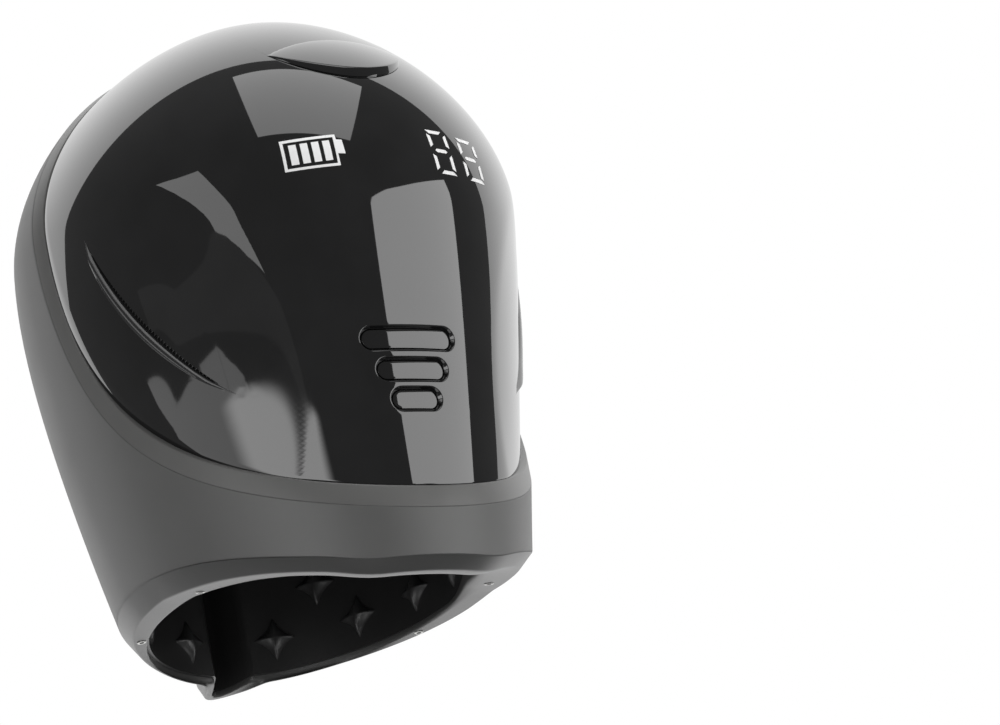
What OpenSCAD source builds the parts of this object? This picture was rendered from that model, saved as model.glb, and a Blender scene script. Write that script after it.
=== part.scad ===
// Hood hair dryer.
// A rigid hood goes over the whole head. A fan on a deck under the crown draws
// air in through the side gills, blows it down through a heater into the plenum
// behind the head liner, and out past the star bosses onto the hair.
//
// The hood's own frame has the resting plane near z = 0, the face at -Y and the
// wearer's left at +X. stand() tips and shifts it so that the origin is below
// the middle of the hood, on the surface that the hood stands on.

/* [Hood] */
// Height of the crown above the resting plane
hood_h = 364; // [345:1:385]
// Half width of the hood at its widest
side_reach = 138.5; // [130:0.5:146]
// Height of the widest place
side_z = 233; // [220:1:245]
// Half width of the hood at its lower edge
side_base = 99; // [96:0.5:104]
// Reach of the hood to the front, from the crown
front_reach = 166; // [163:0.5:174]
// Height of the front's furthest place
front_z = 210; // [200:1:222]
// Reach of the front at the lower edge
front_base = 170; // [168:0.5:176]
// Reach of the hood to the back, from the crown
back_reach = 159.5; // [156:0.5:166]
// Height of the back's furthest place
back_z = 228; // [215:1:240]
// Reach of the back at the lower edge
back_base = 121; // [120:0.5:126]

/* [Walls] */
// Wall of the glossy visor
visor_wall = 3; // [2:0.1:3.4]
// Wall of the matte casing
casing_wall = 3; // [2:0.1:3.4]
// Height by which the casing stands proud of the visor
casing_proud = 2.5; // [1.5:0.1:4]
// Width of the bevelled trim between visor and casing
trim_w = 10; // [6:0.5:14]
// Open line between neighbouring shells
seam_gap = 0.3; // [0.2:0.05:0.5]

/* [Keel] */
// Depth of the rear keel at its fullest
keel_deep = 27; // [20:1:32]
// Extra depth of the keel at the lower edge
keel_flare = 8; // [4:1:12]
// Half width of the keel's root
keel_half_w = 24; // [20:1:28]
// Height at which the keel has died out
keel_top = 252; // [240:1:262]

/* [Lower edge] */
// Rise of the lower edge at the sides, above the keel's tip
rim_rise = 24; // [18:1:28]
// Height of the lip's outer bevel at the front
lip_front = 9.5; // [7:0.5:12]
// Height of the lip's outer bevel at the sides
lip_side = 4.5; // [3:0.5:6]
// Width of the flat under the front lip
lip_flat = 8; // [6:0.5:12]

/* [Head liner] */
// Height of the liner's crown
liner_h = 250; // [235:1:251]
// Half width of the head space at its widest
liner_side = 98; // [92:0.5:100]
// Half width of the opening
opening_half_w = 82; // [76:0.5:84]
// Wall of the liner
liner_wall = 2; // [1.5:0.1:2.5]
// Air space between liner and plenum shell
plenum_gap = 6; // [4:0.5:6.5]
// Wall of the plenum shell
plenum_wall = 2; // [1.5:0.1:2.4]
// Height of the gasket that closes the plenum
gasket_z = 60; // [55:1:70]

/* [Star bosses] */
// Length of a star from tip to tip
star_w = 28; // [20:1:32]
// Height of a star
star_h = 5; // [3:0.5:7]
// Stars in one row round the liner
star_count = 7; // [5:1:8]

/* [Deck] */
// Height of the component deck's underside
deck_z = 283; // [282:0.5:285]
// Thickness of the deck
deck_t = 3; // [2.5:0.1:4]
// Place of the fan's axis behind the crown
fan_y = 8; // [0:1:12]
// Bore of the fan shroud
fan_bore = 87; // [80:1:92]
// Height of the fan shroud
fan_h = 36; // [33:1:42]
// Number of fan blades
fan_blades = 7; // [5:1:9]
// Diameter of the motor
motor_d = 30; // [24:1:34]
// Diameter of the motor shaft
shaft_d = 3; // [2:0.5:4]
// Diameter of a battery cell
cell_d = 18.4; // [16:0.1:19]
// Length of a battery cell
cell_l = 65; // [60:1:68]

/* [Controls] */
// Width of the top button
button_w = 54; // [48:1:58]
// Step in width from one button to the next
button_step = 12.5; // [8:0.5:14]
// Height of a button
button_h = 13; // [10:0.5:14]
// Distance from one button to the next
button_pitch = 16; // [15.5:0.5:18]
// Height of the top button's middle
button_z = 131; // [126:1:136]
// Travel of a button
button_travel = 1.2; // [0.8:0.1:1.4]
// Open gap round a button
button_gap = 0.3; // [0.2:0.05:0.5]

/* [Hidden] */

$fn = 48;
ease = 0.3;
fit_gap = 0.3;

// ---- Forms -----------------------------------------------------------------
// A form is [side, front, back, crown y, crown z, widest place, front shape,
// back shape, keel]. Each outline is [reach, its height, roundness above,
// reach at the base, fullness below].
hood_widest = [-14.5, 16, 17];
HOOD = [[side_reach, side_z, 1.78, side_base, 0.96],
    [front_reach, front_z, 1.82, front_base, 4],
    [back_reach, back_z, 2.18, back_base, 1.18],
    0, hood_h, hood_widest, [2.07, 2.15, 2], [1.75, 1.97, 1.6],
    [keel_deep, keel_flare, keel_half_w]];

liner_mid_z = 160;
liner_front = 117;
liner_back = 130;
liner_front_z = 120;
lip_depth_front = 36;
lip_depth_back = 8;
liner_widest = [-6, 8, 8];
groove_half_w = 13;
LINER = [[liner_side, liner_mid_z, 2, opening_half_w, 1.4],
    [liner_front, liner_front_z, 2, front_base - lip_depth_front, 2],
    [liner_back, liner_mid_z, 2, back_base - lip_depth_back, 1.5],
    fan_y, liner_h, liner_widest, [2.2, 2.2, 2], [2, 2, 2],
    [keel_deep - 2, keel_flare - 3, groove_half_w]];

function smooth(t) = let (u = min(1, max(0, t))) u * u * (3 - 2 * u);
function three(t, v) = v[0] * (1 - t) * (1 - 2 * t) + v[1] * 4 * t * (1 - t) + v[2] * t * (2 * t - 1);
function eased(u, m) = (pow(u * u + ease * ease, m / 2) - pow(ease, m))
    / (pow(1 + ease * ease, m / 2) - pow(ease, m));

// Reach of an outline o at height z, inset by d, for a crown at height top
function reach(o, z, top, c, d) = z > o[1]
    ? c + (o[0] - d - c) * pow(max(0, 1 - eased(min(1, (z - o[1]) / (top - d - o[1])), o[2])), 1 / o[2])
    : o[0] - d - (o[0] - o[3]) * eased((o[1] - z) / o[1], o[4]);

// The keel has its plain depth at keel_even_z, and dies out over keel_fade below its top
keel_even_z = 172;
keel_fade = 70;
function keel_depth(k, z) = (k[0] + k[1] * (1 - z / keel_even_z)) * smooth((keel_top - z) / keel_fade);

// Point of a form at height z and angle a from the front, inset by d
function section(f, z, a, d) = let (
    t = z / f[4],
    s = sin(a),
    c = cos(a),
    w = reach(f[0], z, f[4], 0, d),
    yf = -reach(f[1], z, f[4], -f[3], d),
    yb = reach(f[2], z, f[4], f[3], d),
    m = max(yf, min(yb, three(t, f[5]) * (1 - pow(t, 6)) + f[3] * pow(t, 6))),
    n = c > 0 ? three(t, f[6]) : three(t, f[7]),
    x = w * sign(s) * pow(abs(s), 2 / n),
    y = c > 0 ? m - (m - yf) * pow(c, 2 / n) : m + (yb - m) * pow(-c, 2 / n),
    k = c < 0 ? keel_depth(f[8], z) * pow(max(0, 1 - pow(x / (f[8][2] - d), 2)), 2) : 0)
    [x, y + k, z];

// Columns crowd together at the back where crowd is positive, or at the face
keel_crowd = 36;
face_crowd = -20;
function column(u, crowd = keel_crowd) = 360 * u + crowd * sin(360 * u);

// Heights run evenly up to the shoulder, then follow the dome
shoulder = 0.55;
function row_z(f, t, z0, d) = let (zs = shoulder * f[4]) t < 0.5
    ? z0 + (zs - z0) * 2 * t
    : zs + (f[4] - d - zs) * sin(90 * (2 * t - 1));

function quad(a, b, c, d) = [[a, b, c], [a, c, d]];
function flip(faces) = [for (f = faces) [f[2], f[1], f[0]]];

// Faces of one dome of rows x cols points that starts at index s, closed by its apex
function dome_faces(s, rows, cols, apex) = [
    for (i = [0:rows - 2], j = [0:cols - 1], f = quad(s + i * cols + j, s + (i + 1) * cols + j,
        s + (i + 1) * cols + (j + 1) % cols, s + i * cols + (j + 1) % cols)) f,
    for (j = [0:cols - 1]) [s + (rows - 1) * cols + j, apex, s + (rows - 1) * cols + (j + 1) % cols]];

function dome_points(f, d, z0, rows, cols, crowd) = [for (i = [0:rows - 1], j = [0:cols - 1])
    section(f, row_z(f, i / rows, z0, d), column(j / cols, crowd), d)];

// Hollow dome of a form, between two insets
module dome(f, outer, inner, z0, rows, cols, crowd = keel_crowd) {
    n = rows * cols;
    polyhedron(
        concat(dome_points(f, outer, z0, rows, cols, crowd), dome_points(f, inner, z0, rows, cols, crowd),
            [[0, f[3], f[4] - outer], [0, f[3], f[4] - inner]]),
        concat(dome_faces(0, rows, cols, 2 * n), flip(dome_faces(n, rows, cols, 2 * n + 1)),
            [for (j = [0:cols - 1], q = quad(j, (j + 1) % cols, n + (j + 1) % cols, n + j)) q]));
}

// Solid dome of a form, with a flat floor
module solid_dome(f, d, z0, rows, cols) {
    n = rows * cols;
    polyhedron(
        concat(dome_points(f, d, z0, rows, cols, liner_crowd), [[0, f[3], f[4] - d], [0, f[3], z0]]),
        concat(dome_faces(0, rows, cols, n), [for (j = [0:cols - 1]) [j, (j + 1) % cols, n + 1]]));
}

// Flat outline of a form at one height
function outline(f, z, d, cols) = [for (j = [0:cols - 1])
    let (p = section(f, z, column(j / cols, liner_crowd), d)) [p[0], p[1]]];

// ---- Lower edge and seam, as curves in the side view (y, z) ------------------
rim_mid_y = -39;
arch_front = 142;
arch_back = 186;
function rim_arch(y) = let (u = y - rim_mid_y) max(0, rim_rise * (u < 0
    ? 1 - pow(-u / arch_front, 2.95)
    : 1 - pow(u / arch_back, 1.14)));

// The hood rests on the front lip and on the keel's tip
lip_back = 12;
lip_y = lip_back - front_base;
keel_tip_y = section(HOOD, 0, 180, 0)[1];
stand_tilt = atan(rim_arch(lip_y) / (keel_tip_y - lip_y));
stand_drop = keel_tip_y * sin(stand_tilt);
function rest_z(y) = (keel_tip_y - y) * tan(stand_tilt);

// The arch leaves the resting plane gently, over the first rim_ease of its rise
rim_ease = 3;
function lifted(d) = d < 0 ? 0 : d > rim_ease ? d : d * d * (2 * rim_ease - d) / (rim_ease * rim_ease);
function rim_z(y) = rest_z(y) + lifted(rim_arch(y) - rest_z(y));

// How much of a point counts as front, for what grows towards the face
front_start = 50;
front_run = 100;
function front_share(y) = smooth((-front_start - y) / front_run);
function lip(y) = lip_side + (lip_front - lip_side) * front_share(y);

seam_crown_y = 14;
seam_chin_z = 52;
seam_curve = [[seam_crown_y, hood_h + 1], [-24, 190], [12, 120], [-front_base, seam_chin_z]];
function bezier(p, t) = pow(1 - t, 3) * p[0] + 3 * pow(1 - t, 2) * t * p[1]
    + 3 * (1 - t) * t * t * p[2] + pow(t, 3) * p[3];
function seam_point(t, off) = let (
    a = bezier(seam_curve, t - 0.005),
    b = bezier(seam_curve, t + 0.005),
    v = (b - a) / norm(b - a))
    bezier(seam_curve, t) + off * [-v[1], v[0]];
seam_steps = 20;
function seam_line(off) = [for (i = [0:seam_steps]) seam_point(i / seam_steps, off)];
function back_to_front(p) = [for (i = [len(p) - 1:-1:0]) p[i]];
side_margin = 60;
rim_steps = [for (y = [-front_base - 20:10:back_base + 80]) y];
rim_line = [for (y = rim_steps) [y, rim_z(y) + lip(y) + seam_gap]];

// Everything of its children that lies over a region of the side view
module over(region) {
    intersection() {
        children();
        rotate([90, 0, 90]) linear_extrude(2 * hood_h, center = true) polygon(region);
    }
}

side_front = -front_base - side_margin;
side_top = hood_h + side_margin;
visor_region = concat([[side_front, side_top], [seam_crown_y, side_top]],
    seam_line(0), [[side_front, seam_chin_z]]);
trim_region = concat([[seam_crown_y + seam_gap, side_top]], seam_line(seam_gap),
    [[side_front, seam_chin_z - seam_gap], [side_front, seam_chin_z - trim_w]],
    back_to_front(seam_line(trim_w)), [[seam_crown_y + trim_w, side_top]]);
casing_region = concat([[seam_crown_y + trim_w + seam_gap, side_top]], seam_line(trim_w + seam_gap),
    [[side_front, seam_chin_z - trim_w - seam_gap]],
    rim_line, [[back_reach + side_margin, side_top]]);

shell_rows = 20;
shell_cols = 44;
shell_floor = -6;

// Part of the front of the hood between two insets
module front_dome(outer, inner) {
    dome(HOOD, outer, inner, shell_floor, shell_rows, shell_cols, face_crowd);
}

// ---- Placing -----------------------------------------------------------------
stand_shift = -3.87;

module stand() {
    translate([0, stand_shift, -stand_drop]) rotate([stand_tilt, 0, 0]) children();
}

// ---- Shells --------------------------------------------------------------------
visor_inset = 0.8;
casing_out = casing_proud - visor_inset;
casing_inner = casing_wall - casing_out;

function button_width(i) = button_w - i * button_step;
function button_height(i) = button_z - i * button_pitch;

module pill(w, h, depth) {
    linear_extrude(depth) {
        square([w - h, h], center = true);
        for (s = [-1, 1]) translate([s * (w - h) / 2, 0]) circle(d = h);
    }
}

// Turns its children so that they grow towards the face, from the plane at y
module facing(y, z = 0) {
    translate([0, y, z]) rotate([90, 0, 0]) children();
}

// Points of an arc from a to b that bulges by sag to its right
function arc(a, b, sag, n) = let (
    half = norm(b - a) / 2,
    r = (half * half + sag * sag) / (2 * sag),
    dir = (b - a) / (2 * half),
    side = [dir[1], -dir[0]],
    c = (a + b) / 2 + side * (sag - r),
    reach_angle = asin(half / r))
    [for (i = [0:n]) let (t = (2 * i / n - 1) * reach_angle) c + r * (cos(t) * side + sin(t) * dir)];

// Side gills: slim crescents on the temples of the visor
gill_top = [-50, 220];
gill_foot = [-124, 113];
gill_steps = 10;
gill_low_sag = 13;
gill_high_sag = 6;
gill_outline = concat(arc(gill_foot, gill_top, gill_low_sag, gill_steps),
    back_to_front(arc(gill_foot, gill_top, gill_high_sag, gill_steps)));

// Prism over a gill in the side view, on one side of the hood
module gill_prism(side, grow) {
    rotate([90, 0, 90]) translate([0, 0, side > 0 ? 0 : -hood_h]) linear_extrude(hood_h)
        offset(delta = grow) polygon(gill_outline);
}

pocket_start = 20;
module visor_shell() {
    color("#1c1c1e") stand() difference() {
        over(visor_region) front_dome(visor_inset, visor_inset + visor_wall);
        for (i = [0:2]) facing(pocket_start - front_reach, button_height(i))
            pill(button_width(i), button_h, 2 * pocket_start);
        for (side = [-1, 1]) gill_prism(side, fit_gap);
    }
}

// Screw bosses: they stand on the rim ring and run into the casing's wall
boss_angles = [72, 112];
boss_r = 4.5;
boss_h = 14;
boss_bite = 0.6;
pilot_h = 11;
screw_r = 1.5;
pilot_r = screw_r + 0.05;
function boss_place(a) = let (
    p = section(HOOD, rim_rise + lip_side + 2, a, casing_inner + boss_r - boss_bite))
    [p[0], p[1], max(rim_z(p[1] - boss_r), rim_z(p[1] + boss_r)) + lip(p[1]) + seam_gap];

module at_bosses() {
    for (side = [-1, 1], a = boss_angles) translate(boss_place(side * a)) children();
}

module rear_casing() {
    color("#3f3f41") stand() difference() {
        union() {
            over(casing_region)
                dome(HOOD, -casing_out, casing_inner, shell_floor, shell_rows, shell_cols);
            at_bosses() cylinder(r = boss_r, h = boss_h);
        }
        at_bosses() translate([0, 0, -1]) cylinder(r = pilot_r, h = pilot_h + 1);
    }
}

module seam_trim() {
    color("#5a5a5c") stand() over(trim_region) front_dome(0, casing_wall);
}

// ---- Rim ring -------------------------------------------------------------------
rim_top = 8;
bevel_front = 10;
bevel_side = 3;
ring_cols = 84;
ring_crowd = 20;
shelf_inset = casing_inner + 2 * boss_r + seam_gap;
function at_height(p, z) = [p[0], p[1], z];

// Height of the lip at angle a, closer with each of k steps from z
function lip_top(a, z, k) = k == 0 ? z : let (y = section(HOOD, z, a, -casing_out)[1])
    lip_top(a, rim_z(y) + lip(y), k - 1);

// Section of the ring at angle a: outer edge, bevel foot, flat, opening edge, inner top, and the
// shelf below the casing's wall and bosses
function ring_section(a) = let (
    top = lip_top(a, rim_rise, 5),
    outer = section(HOOD, top, a, -casing_out),
    bevel = bevel_side + (bevel_front - bevel_side) * front_share(outer[1]) - casing_out,
    foot = section(HOOD, top, a, bevel),
    flat = section(HOOD, top, a, bevel + 1 + lip_flat * front_share(outer[1])),
    edge = section(LINER, rim_rise, a, 0),
    shelf = section(HOOD, top, a, shelf_inset),
    ledge = section(HOOD, top, a, casing_inner + seam_gap),
    foot_z = rim_z(foot[1]))
    [outer, at_height(foot, foot_z), at_height(flat, foot_z - (flat[1] - foot[1]) * tan(stand_tilt)),
        at_height(edge, rim_z(edge[1])), at_height(edge, rim_z(edge[1]) + rim_top),
        at_height(shelf, rim_z(shelf[1]) + lip(shelf[1])),
        at_height(ledge, rim_z(ledge[1]) + lip(ledge[1]))];

module ring_body() {
    sides = 7;
    polyhedron(
        [for (j = [0:ring_cols - 1], p = ring_section(column(j / ring_cols, ring_crowd))) p],
        [for (j = [0:ring_cols - 1], i = [0:sides - 1]) let (
            a = j * sides,
            b = ((j + 1) % ring_cols) * sides,
            k = (i + 1) % sides)
            for (f = quad(a + i, b + i, b + k, a + k)) f]);
}

socket_size = [10, 7, 7];
socket_lip = 26;
socket_place = [36, socket_lip - front_base, 13];
plug_w = 8.6;
plug_h = 3;

module rim_ring() {
    color("#3a3a3c") stand() difference() {
        ring_body();
        at_ring_screws() {
            cylinder(r = screw_r + fit_gap, h = 2 * rim_top, center = true);
            translate([0, 0, -2 * rim_top]) cylinder(r = screw_head_r + fit_gap, h = 2 * rim_top);
        }
        translate(socket_place - [socket_size[0] / 2 + fit_gap, socket_size[1] / 2 + fit_gap, rim_top])
            cube(socket_size + [2 * fit_gap, 2 * fit_gap, rim_top + fit_gap]);
    }
}

screw_head_r = 3;
screw_head_t = 2;
hex_r = 1.3;
module screw(length) {
    cylinder(r = screw_r, h = length);
    difference() {
        translate([0, 0, -screw_head_t]) cylinder(r = screw_head_r, h = screw_head_t);
        translate([0, 0, -2 * screw_head_t]) cylinder(r = hex_r, h = 1.5 * screw_head_t, $fn = 6);
    }
}

// The heads sit in the ring, this far above its underside
head_sink = 2.6;
module at_ring_screws() {
    for (side = [-1, 1], a = boss_angles) let (p = boss_place(side * a))
        translate([p[0], p[1], rim_z(p[1]) + head_sink]) children();
}

module rim_screws() {
    color("#8a8d92") stand() at_ring_screws() screw(pilot_h);
}

module charge_socket() {
    color("#202022") stand() translate(socket_place) difference() {
        translate([-socket_size[0] / 2, -socket_size[1] / 2, 0]) cube(socket_size);
        translate([0, 0, -1]) pill(plug_w, plug_h, socket_size[2] - 1);
    }
}

// ---- Head liner -------------------------------------------------------------------
liner_rows = 18;
liner_cols = 48;
liner_crowd = 26;
liner_line = [for (y = rim_steps) [y, rim_z(y) + rim_top + seam_gap]];

module head_liner() {
    color("#161617") stand()
        over(concat([[-2 * front_reach, hood_h]], liner_line, [[2 * back_reach, hood_h]]))
        dome(LINER, -liner_wall, 0, 0, liner_rows, liner_cols, liner_crowd);
}

// Point of the liner's inner face, u along and v up from (z, a), raised by h
function on_liner(z, a, u, v, h) = let (
    speed = norm(section(LINER, z, a + 1, 0) - section(LINER, z, a - 1, 0)) / 2)
    section(LINER, z + v, a + u / speed, h);

star_seat = 1;
module star(z, a) {
    rim = [for (i = [0:7]) let (r = star_w * (i % 2 == 0 ? 1 / 2 : 1 / 7))
        on_liner(z, a, r * cos(45 * i), r * sin(45 * i), star_seat)];
    polyhedron(
        concat(rim, [on_liner(z, a, 0, 0, star_seat), on_liner(z, a, 0, 0, star_h)]),
        [for (i = [0:7], f = [[8, (i + 1) % 8, i], [9, i, (i + 1) % 8]]) f]);
}

star_row_z = [72, 118, 164, 204];
module star_bosses() {
    color("#1b1b1d") stand() for (row = [0:3], k = [0:star_count - 1]) let (
        a = (k + (row % 2) / 2) * 360 / star_count,
        x = section(LINER, star_row_z[row], a, 0)[0])
        if (cos(a) > 0 || abs(x) > groove_half_w + star_w / 2) star(star_row_z[row], a);
}

// ---- Plenum ---------------------------------------------------------------------
plenum_out = liner_wall + plenum_gap + plenum_wall;
post_x = 62;
post_y = 52;
post_r = 5;
post_foot = 222;
post_pilot = 12;
heater_r = fan_bore / 2 + 0.5;

module at_posts() {
    for (sx = [-1, 1], sy = [-1, 1]) translate([sx * post_x, fan_y + sy * post_y, 0]) children();
}

module plenum_shell() {
    color("#2c2c2e") stand() difference() {
        union() {
            solid_dome(LINER, -plenum_out, gasket_z, liner_rows, liner_cols);
            at_posts() translate([0, 0, post_foot]) cylinder(r = post_r, h = deck_z - post_foot);
        }
        solid_dome(LINER, plenum_wall - plenum_out, gasket_z - 1, liner_rows, liner_cols);
        translate([0, fan_y, post_foot]) cylinder(r = heater_r + fit_gap, h = deck_z - post_foot);
        at_posts() translate([0, 0, deck_z - post_pilot]) cylinder(r = pilot_r, h = post_pilot + 1);
    }
}

gasket_t = 3;
module plenum_gasket() {
    color("#6b2b22") stand() translate([0, 0, gasket_z - gasket_t]) linear_extrude(gasket_t) difference() {
        polygon(outline(LINER, gasket_z, -plenum_out, liner_cols));
        polygon(outline(LINER, gasket_z, -liner_wall - 2 * fit_gap, liner_cols));
    }
}

// ---- Trim on the visor -----------------------------------------------------------
cap_y = 69 - front_reach;
cap_r = 44;
cap_rise = 2.4;
module crown_cap() {
    color("#151517") stand() intersection() {
        front_dome(visor_inset - fit_gap - cap_rise, visor_inset - fit_gap);
        translate([0, cap_y, 0]) cylinder(r = cap_r, h = 2 * hood_h);
    }
}

gill_proud = 1;
module gill(side) {
    intersection() {
        gill_prism(side, 0);
        front_dome(visor_inset - gill_proud, visor_inset + visor_wall - 0.5);
    }
}

module gill_left() {
    color("#2b2b2d") stand() gill(1);
}

module gill_right() {
    color("#2b2b2d") stand() gill(-1);
}

// ---- Deck -------------------------------------------------------------------------
deck_top = deck_z + deck_t;
deck_inset = visor_inset + visor_wall + 1;
board_w = 80;
board_back = -56;
board_front = 54 - front_reach;
board_d = board_back - board_front;
board_y = (board_back + board_front) / 2;
board_lift = 4;
board_t = 1.6;
board_corner = 5;
slot_x = 92;
slot_y = -62;
slot_turn = 55;
slot_l = 36;
slot_w = 12;

module at_board_corners() {
    for (sx = [-1, 1], sy = [-1, 1])
        translate([sx * (board_w / 2 - board_corner), board_y + sy * (board_d / 2 - board_corner), 0])
            children();
}

module component_deck() {
    color("#35363a") stand() difference() {
        union() {
            translate([0, 0, deck_z]) linear_extrude(deck_t)
                polygon(outline(HOOD, deck_top, deck_inset, 48));
            at_board_corners() translate([0, 0, deck_z]) cylinder(r = 3.5, h = deck_t + board_lift);
        }
        translate([0, fan_y, deck_z - 1]) cylinder(r = fan_bore / 2 - 2, h = deck_t + 2);
        at_posts() translate([0, 0, deck_z - 1]) cylinder(r = screw_r + fit_gap, h = deck_t + 2);
        at_board_corners() translate([0, 0, deck_z - 1]) cylinder(r = pilot_r, h = deck_t + board_lift + 2);
        at_ears() translate([0, 0, deck_z - 1]) cylinder(r = pilot_r, h = deck_t + 2);
        for (s = [-1, 1]) translate([s * slot_x, slot_y, deck_z - 1]) rotate([0, 0, s * slot_turn])
            pill(slot_l, slot_w, deck_t + 2);
    }
}

module deck_screws() {
    color("#8a8d92") stand() at_posts() translate([0, 0, deck_top]) mirror([0, 0, 1])
        screw(deck_t + post_pilot - 3);
}

// ---- Fan ---------------------------------------------------------------------------
shroud_wall = 2.5;
ear_r = 5;
ear_h = 5;
strut_w = 3;
ear_place = fan_bore / 2 + shroud_wall + 3.5;
seat_h = 4;
motor_h = 20;
shaft_start = 4;
running_gap = 0.05;
hub_h = 9;
hub_z = seat_h + motor_h + 1;
blade_tip_gap = 1.5;
blade_t = 1.8;
blade_turn = 48;

module at_ears() {
    for (k = [0:3]) translate([0, fan_y, 0]) rotate([0, 0, 45 + 90 * k]) translate([ear_place, 0, 0])
        children();
}

module at_fan(z) {
    translate([0, fan_y, deck_top + z]) children();
}

module fan_shroud() {
    color("#2a2a2c") stand() difference() {
        union() {
            at_fan(0) difference() {
                cylinder(r = fan_bore / 2 + shroud_wall, h = fan_h);
                translate([0, 0, -1]) cylinder(r = fan_bore / 2, h = fan_h + 2);
            }
            at_fan(0) cylinder(r = motor_d / 2 + 2, h = seat_h);
            for (k = [0:2]) at_fan(0) rotate([0, 0, 120 * k + 30]) translate([0, -strut_w / 2, 0])
                cube([fan_bore / 2 + 1, strut_w, seat_h]);
            at_ears() translate([0, 0, deck_top]) cylinder(r = ear_r, h = ear_h);
        }
        at_ears() translate([0, 0, deck_top - 1]) cylinder(r = screw_r + fit_gap, h = ear_h + 2);
    }
}

module fan_motor() {
    color("#9a9ca0") stand() at_fan(seat_h) difference() {
        cylinder(d = motor_d, h = motor_h);
        translate([0, 0, shaft_start - 1]) cylinder(d = shaft_d + 2 * running_gap, h = motor_h);
    }
}

module motor_shaft() {
    color("#c8c9cc") stand() at_fan(seat_h + shaft_start)
        cylinder(d = shaft_d, h = motor_h + hub_h - shaft_start);
}

module impeller() {
    color("#4a4c50") stand() at_fan(hub_z) difference() {
        intersection() {
            union() {
                cylinder(d = motor_d + 2, h = hub_h);
                for (k = [0:fan_blades - 1]) rotate([0, 0, 360 / fan_blades * k])
                    translate([fan_bore / 4 + motor_d / 4, 0, hub_h / 2]) rotate([blade_turn, 0, 0])
                    cube([fan_bore / 2 - motor_d / 2, blade_t, 3 * hub_h], center = true);
            }
            cylinder(d = fan_bore - 2 * blade_tip_gap, h = hub_h);
        }
        translate([0, 0, -1]) cylinder(d = shaft_d, h = hub_h + 2);
    }
}

grille_t = 2;
bar_w = 2;
bar_drop = 0.3;
first_ring = 12;
ring_pitch = 8;
module fan_grille() {
    color("#303032") stand() at_fan(fan_h) {
        for (r = [first_ring:ring_pitch:fan_bore / 2 - ring_pitch / 2]) difference() {
            cylinder(r = r, h = grille_t);
            translate([0, 0, -1]) cylinder(r = r - bar_w, h = grille_t + 2);
        }
        difference() {
            cylinder(r = fan_bore / 2 + shroud_wall, h = grille_t);
            translate([0, 0, -1]) cylinder(r = fan_bore / 2 - 1, h = grille_t + 2);
        }
        for (k = [0:7]) rotate([0, 0, 45 * k]) translate([first_ring - bar_w / 2, -bar_w / 2, bar_drop])
            cube([fan_bore / 2 - first_ring + bar_w / 2, bar_w, grille_t - 2 * bar_drop]);
    }
}

module fan_screws() {
    color("#8a8d92") stand() at_ears() translate([0, 0, deck_top + ear_h]) mirror([0, 0, 1])
        screw(ear_h + deck_t - 1);
}

// ---- Heater -----------------------------------------------------------------------
heater_foot = liner_h + 6;
heater_wall = 2;
mica_z = heater_foot + 6;
mica_h = deck_z - mica_z - 7;
mica_t = 1.5;
wire_r = 1;
cutoff_r = 8;
cutoff_h = 7;

module heater_frame() {
    color("#b9ad8c") stand() translate([0, fan_y, 0]) {
        difference() {
            translate([0, 0, heater_foot]) cylinder(r = heater_r, h = deck_z - heater_foot);
            translate([0, 0, heater_foot - 1]) cylinder(r = heater_r - heater_wall, h = deck_z);
        }
        for (k = [0:1]) rotate([0, 0, 90 * k])
            translate([-heater_r + heater_wall / 2, -mica_t / 2, mica_z])
            cube([2 * heater_r - heater_wall, mica_t, mica_h]);
    }
}

module heater_element() {
    color("#7d6a5c") stand() translate([0, fan_y, mica_z + mica_h + wire_r + 0.1])
        for (r = [first_ring:ring_pitch:heater_r - ring_pitch / 2])
            rotate_extrude() translate([r, 0]) circle(r = wire_r, $fn = 16);
}

module thermal_cutoff() {
    color("#a8a8aa") stand() translate([heater_r + cutoff_r + 1, fan_y, deck_z - cutoff_h])
        cylinder(r = cutoff_r, h = cutoff_h);
}

// ---- Batteries ---------------------------------------------------------------------
tray_floor = 2;
cell_gap = 0.6;
tray_w = 2 * cell_d + cell_gap + 3;
tray_l = cell_l + 4;
tray_h = 8;
tray_x = 78;
tray_shift = 6;
tray_rear_y = 94;

module at_trays() {
    for (s = [-1, 1]) translate([s * tray_x, fan_y - tray_shift, deck_top]) rotate([0, 0, 90]) children();
    translate([0, tray_rear_y, deck_top]) children();
}

module cells(r, l) {
    for (s = [-1, 1]) translate([-l / 2, s * (cell_d + cell_gap) / 2, tray_floor + cell_d / 2])
        rotate([0, 90, 0]) cylinder(r = r, h = l);
}

module battery_trays() {
    color("#2f3b46") stand() at_trays() difference() {
        translate([-tray_l / 2, -tray_w / 2, 0]) cube([tray_l, tray_w, tray_h]);
        cells(cell_d / 2 + 0.2, cell_l + 0.6);
    }
}

module battery_cells() {
    color("#3f7d6b") stand() at_trays() cells(cell_d / 2, cell_l);
}

// ---- Main board --------------------------------------------------------------------
board_z = deck_top + board_lift;
module main_board() {
    color("#1f5b3a") stand() difference() {
        translate([-board_w / 2, board_y - board_d / 2, board_z]) cube([board_w, board_d, board_t]);
        at_board_corners() translate([0, 0, board_z - 1]) cylinder(r = screw_r + fit_gap, h = board_t + 2);
    }
}

module board_parts() {
    color("#24262a") stand() translate([0, board_y, board_z + board_t]) {
        for (k = [-1:1]) translate([k * 12, 15, 0]) cylinder(d = 8, h = 11);
        translate([-26, -8, 0]) cube([15, 12, 10]);
        translate([-4, -9, 0]) cube([12, 12, 2]);
        translate([16, -12, 0]) cube([14, 18, 6]);
    }
}

module board_screws() {
    color("#8a8d92") stand() at_board_corners() translate([0, 0, board_z + board_t]) mirror([0, 0, 1])
        screw(board_lift + deck_t);
}

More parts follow.
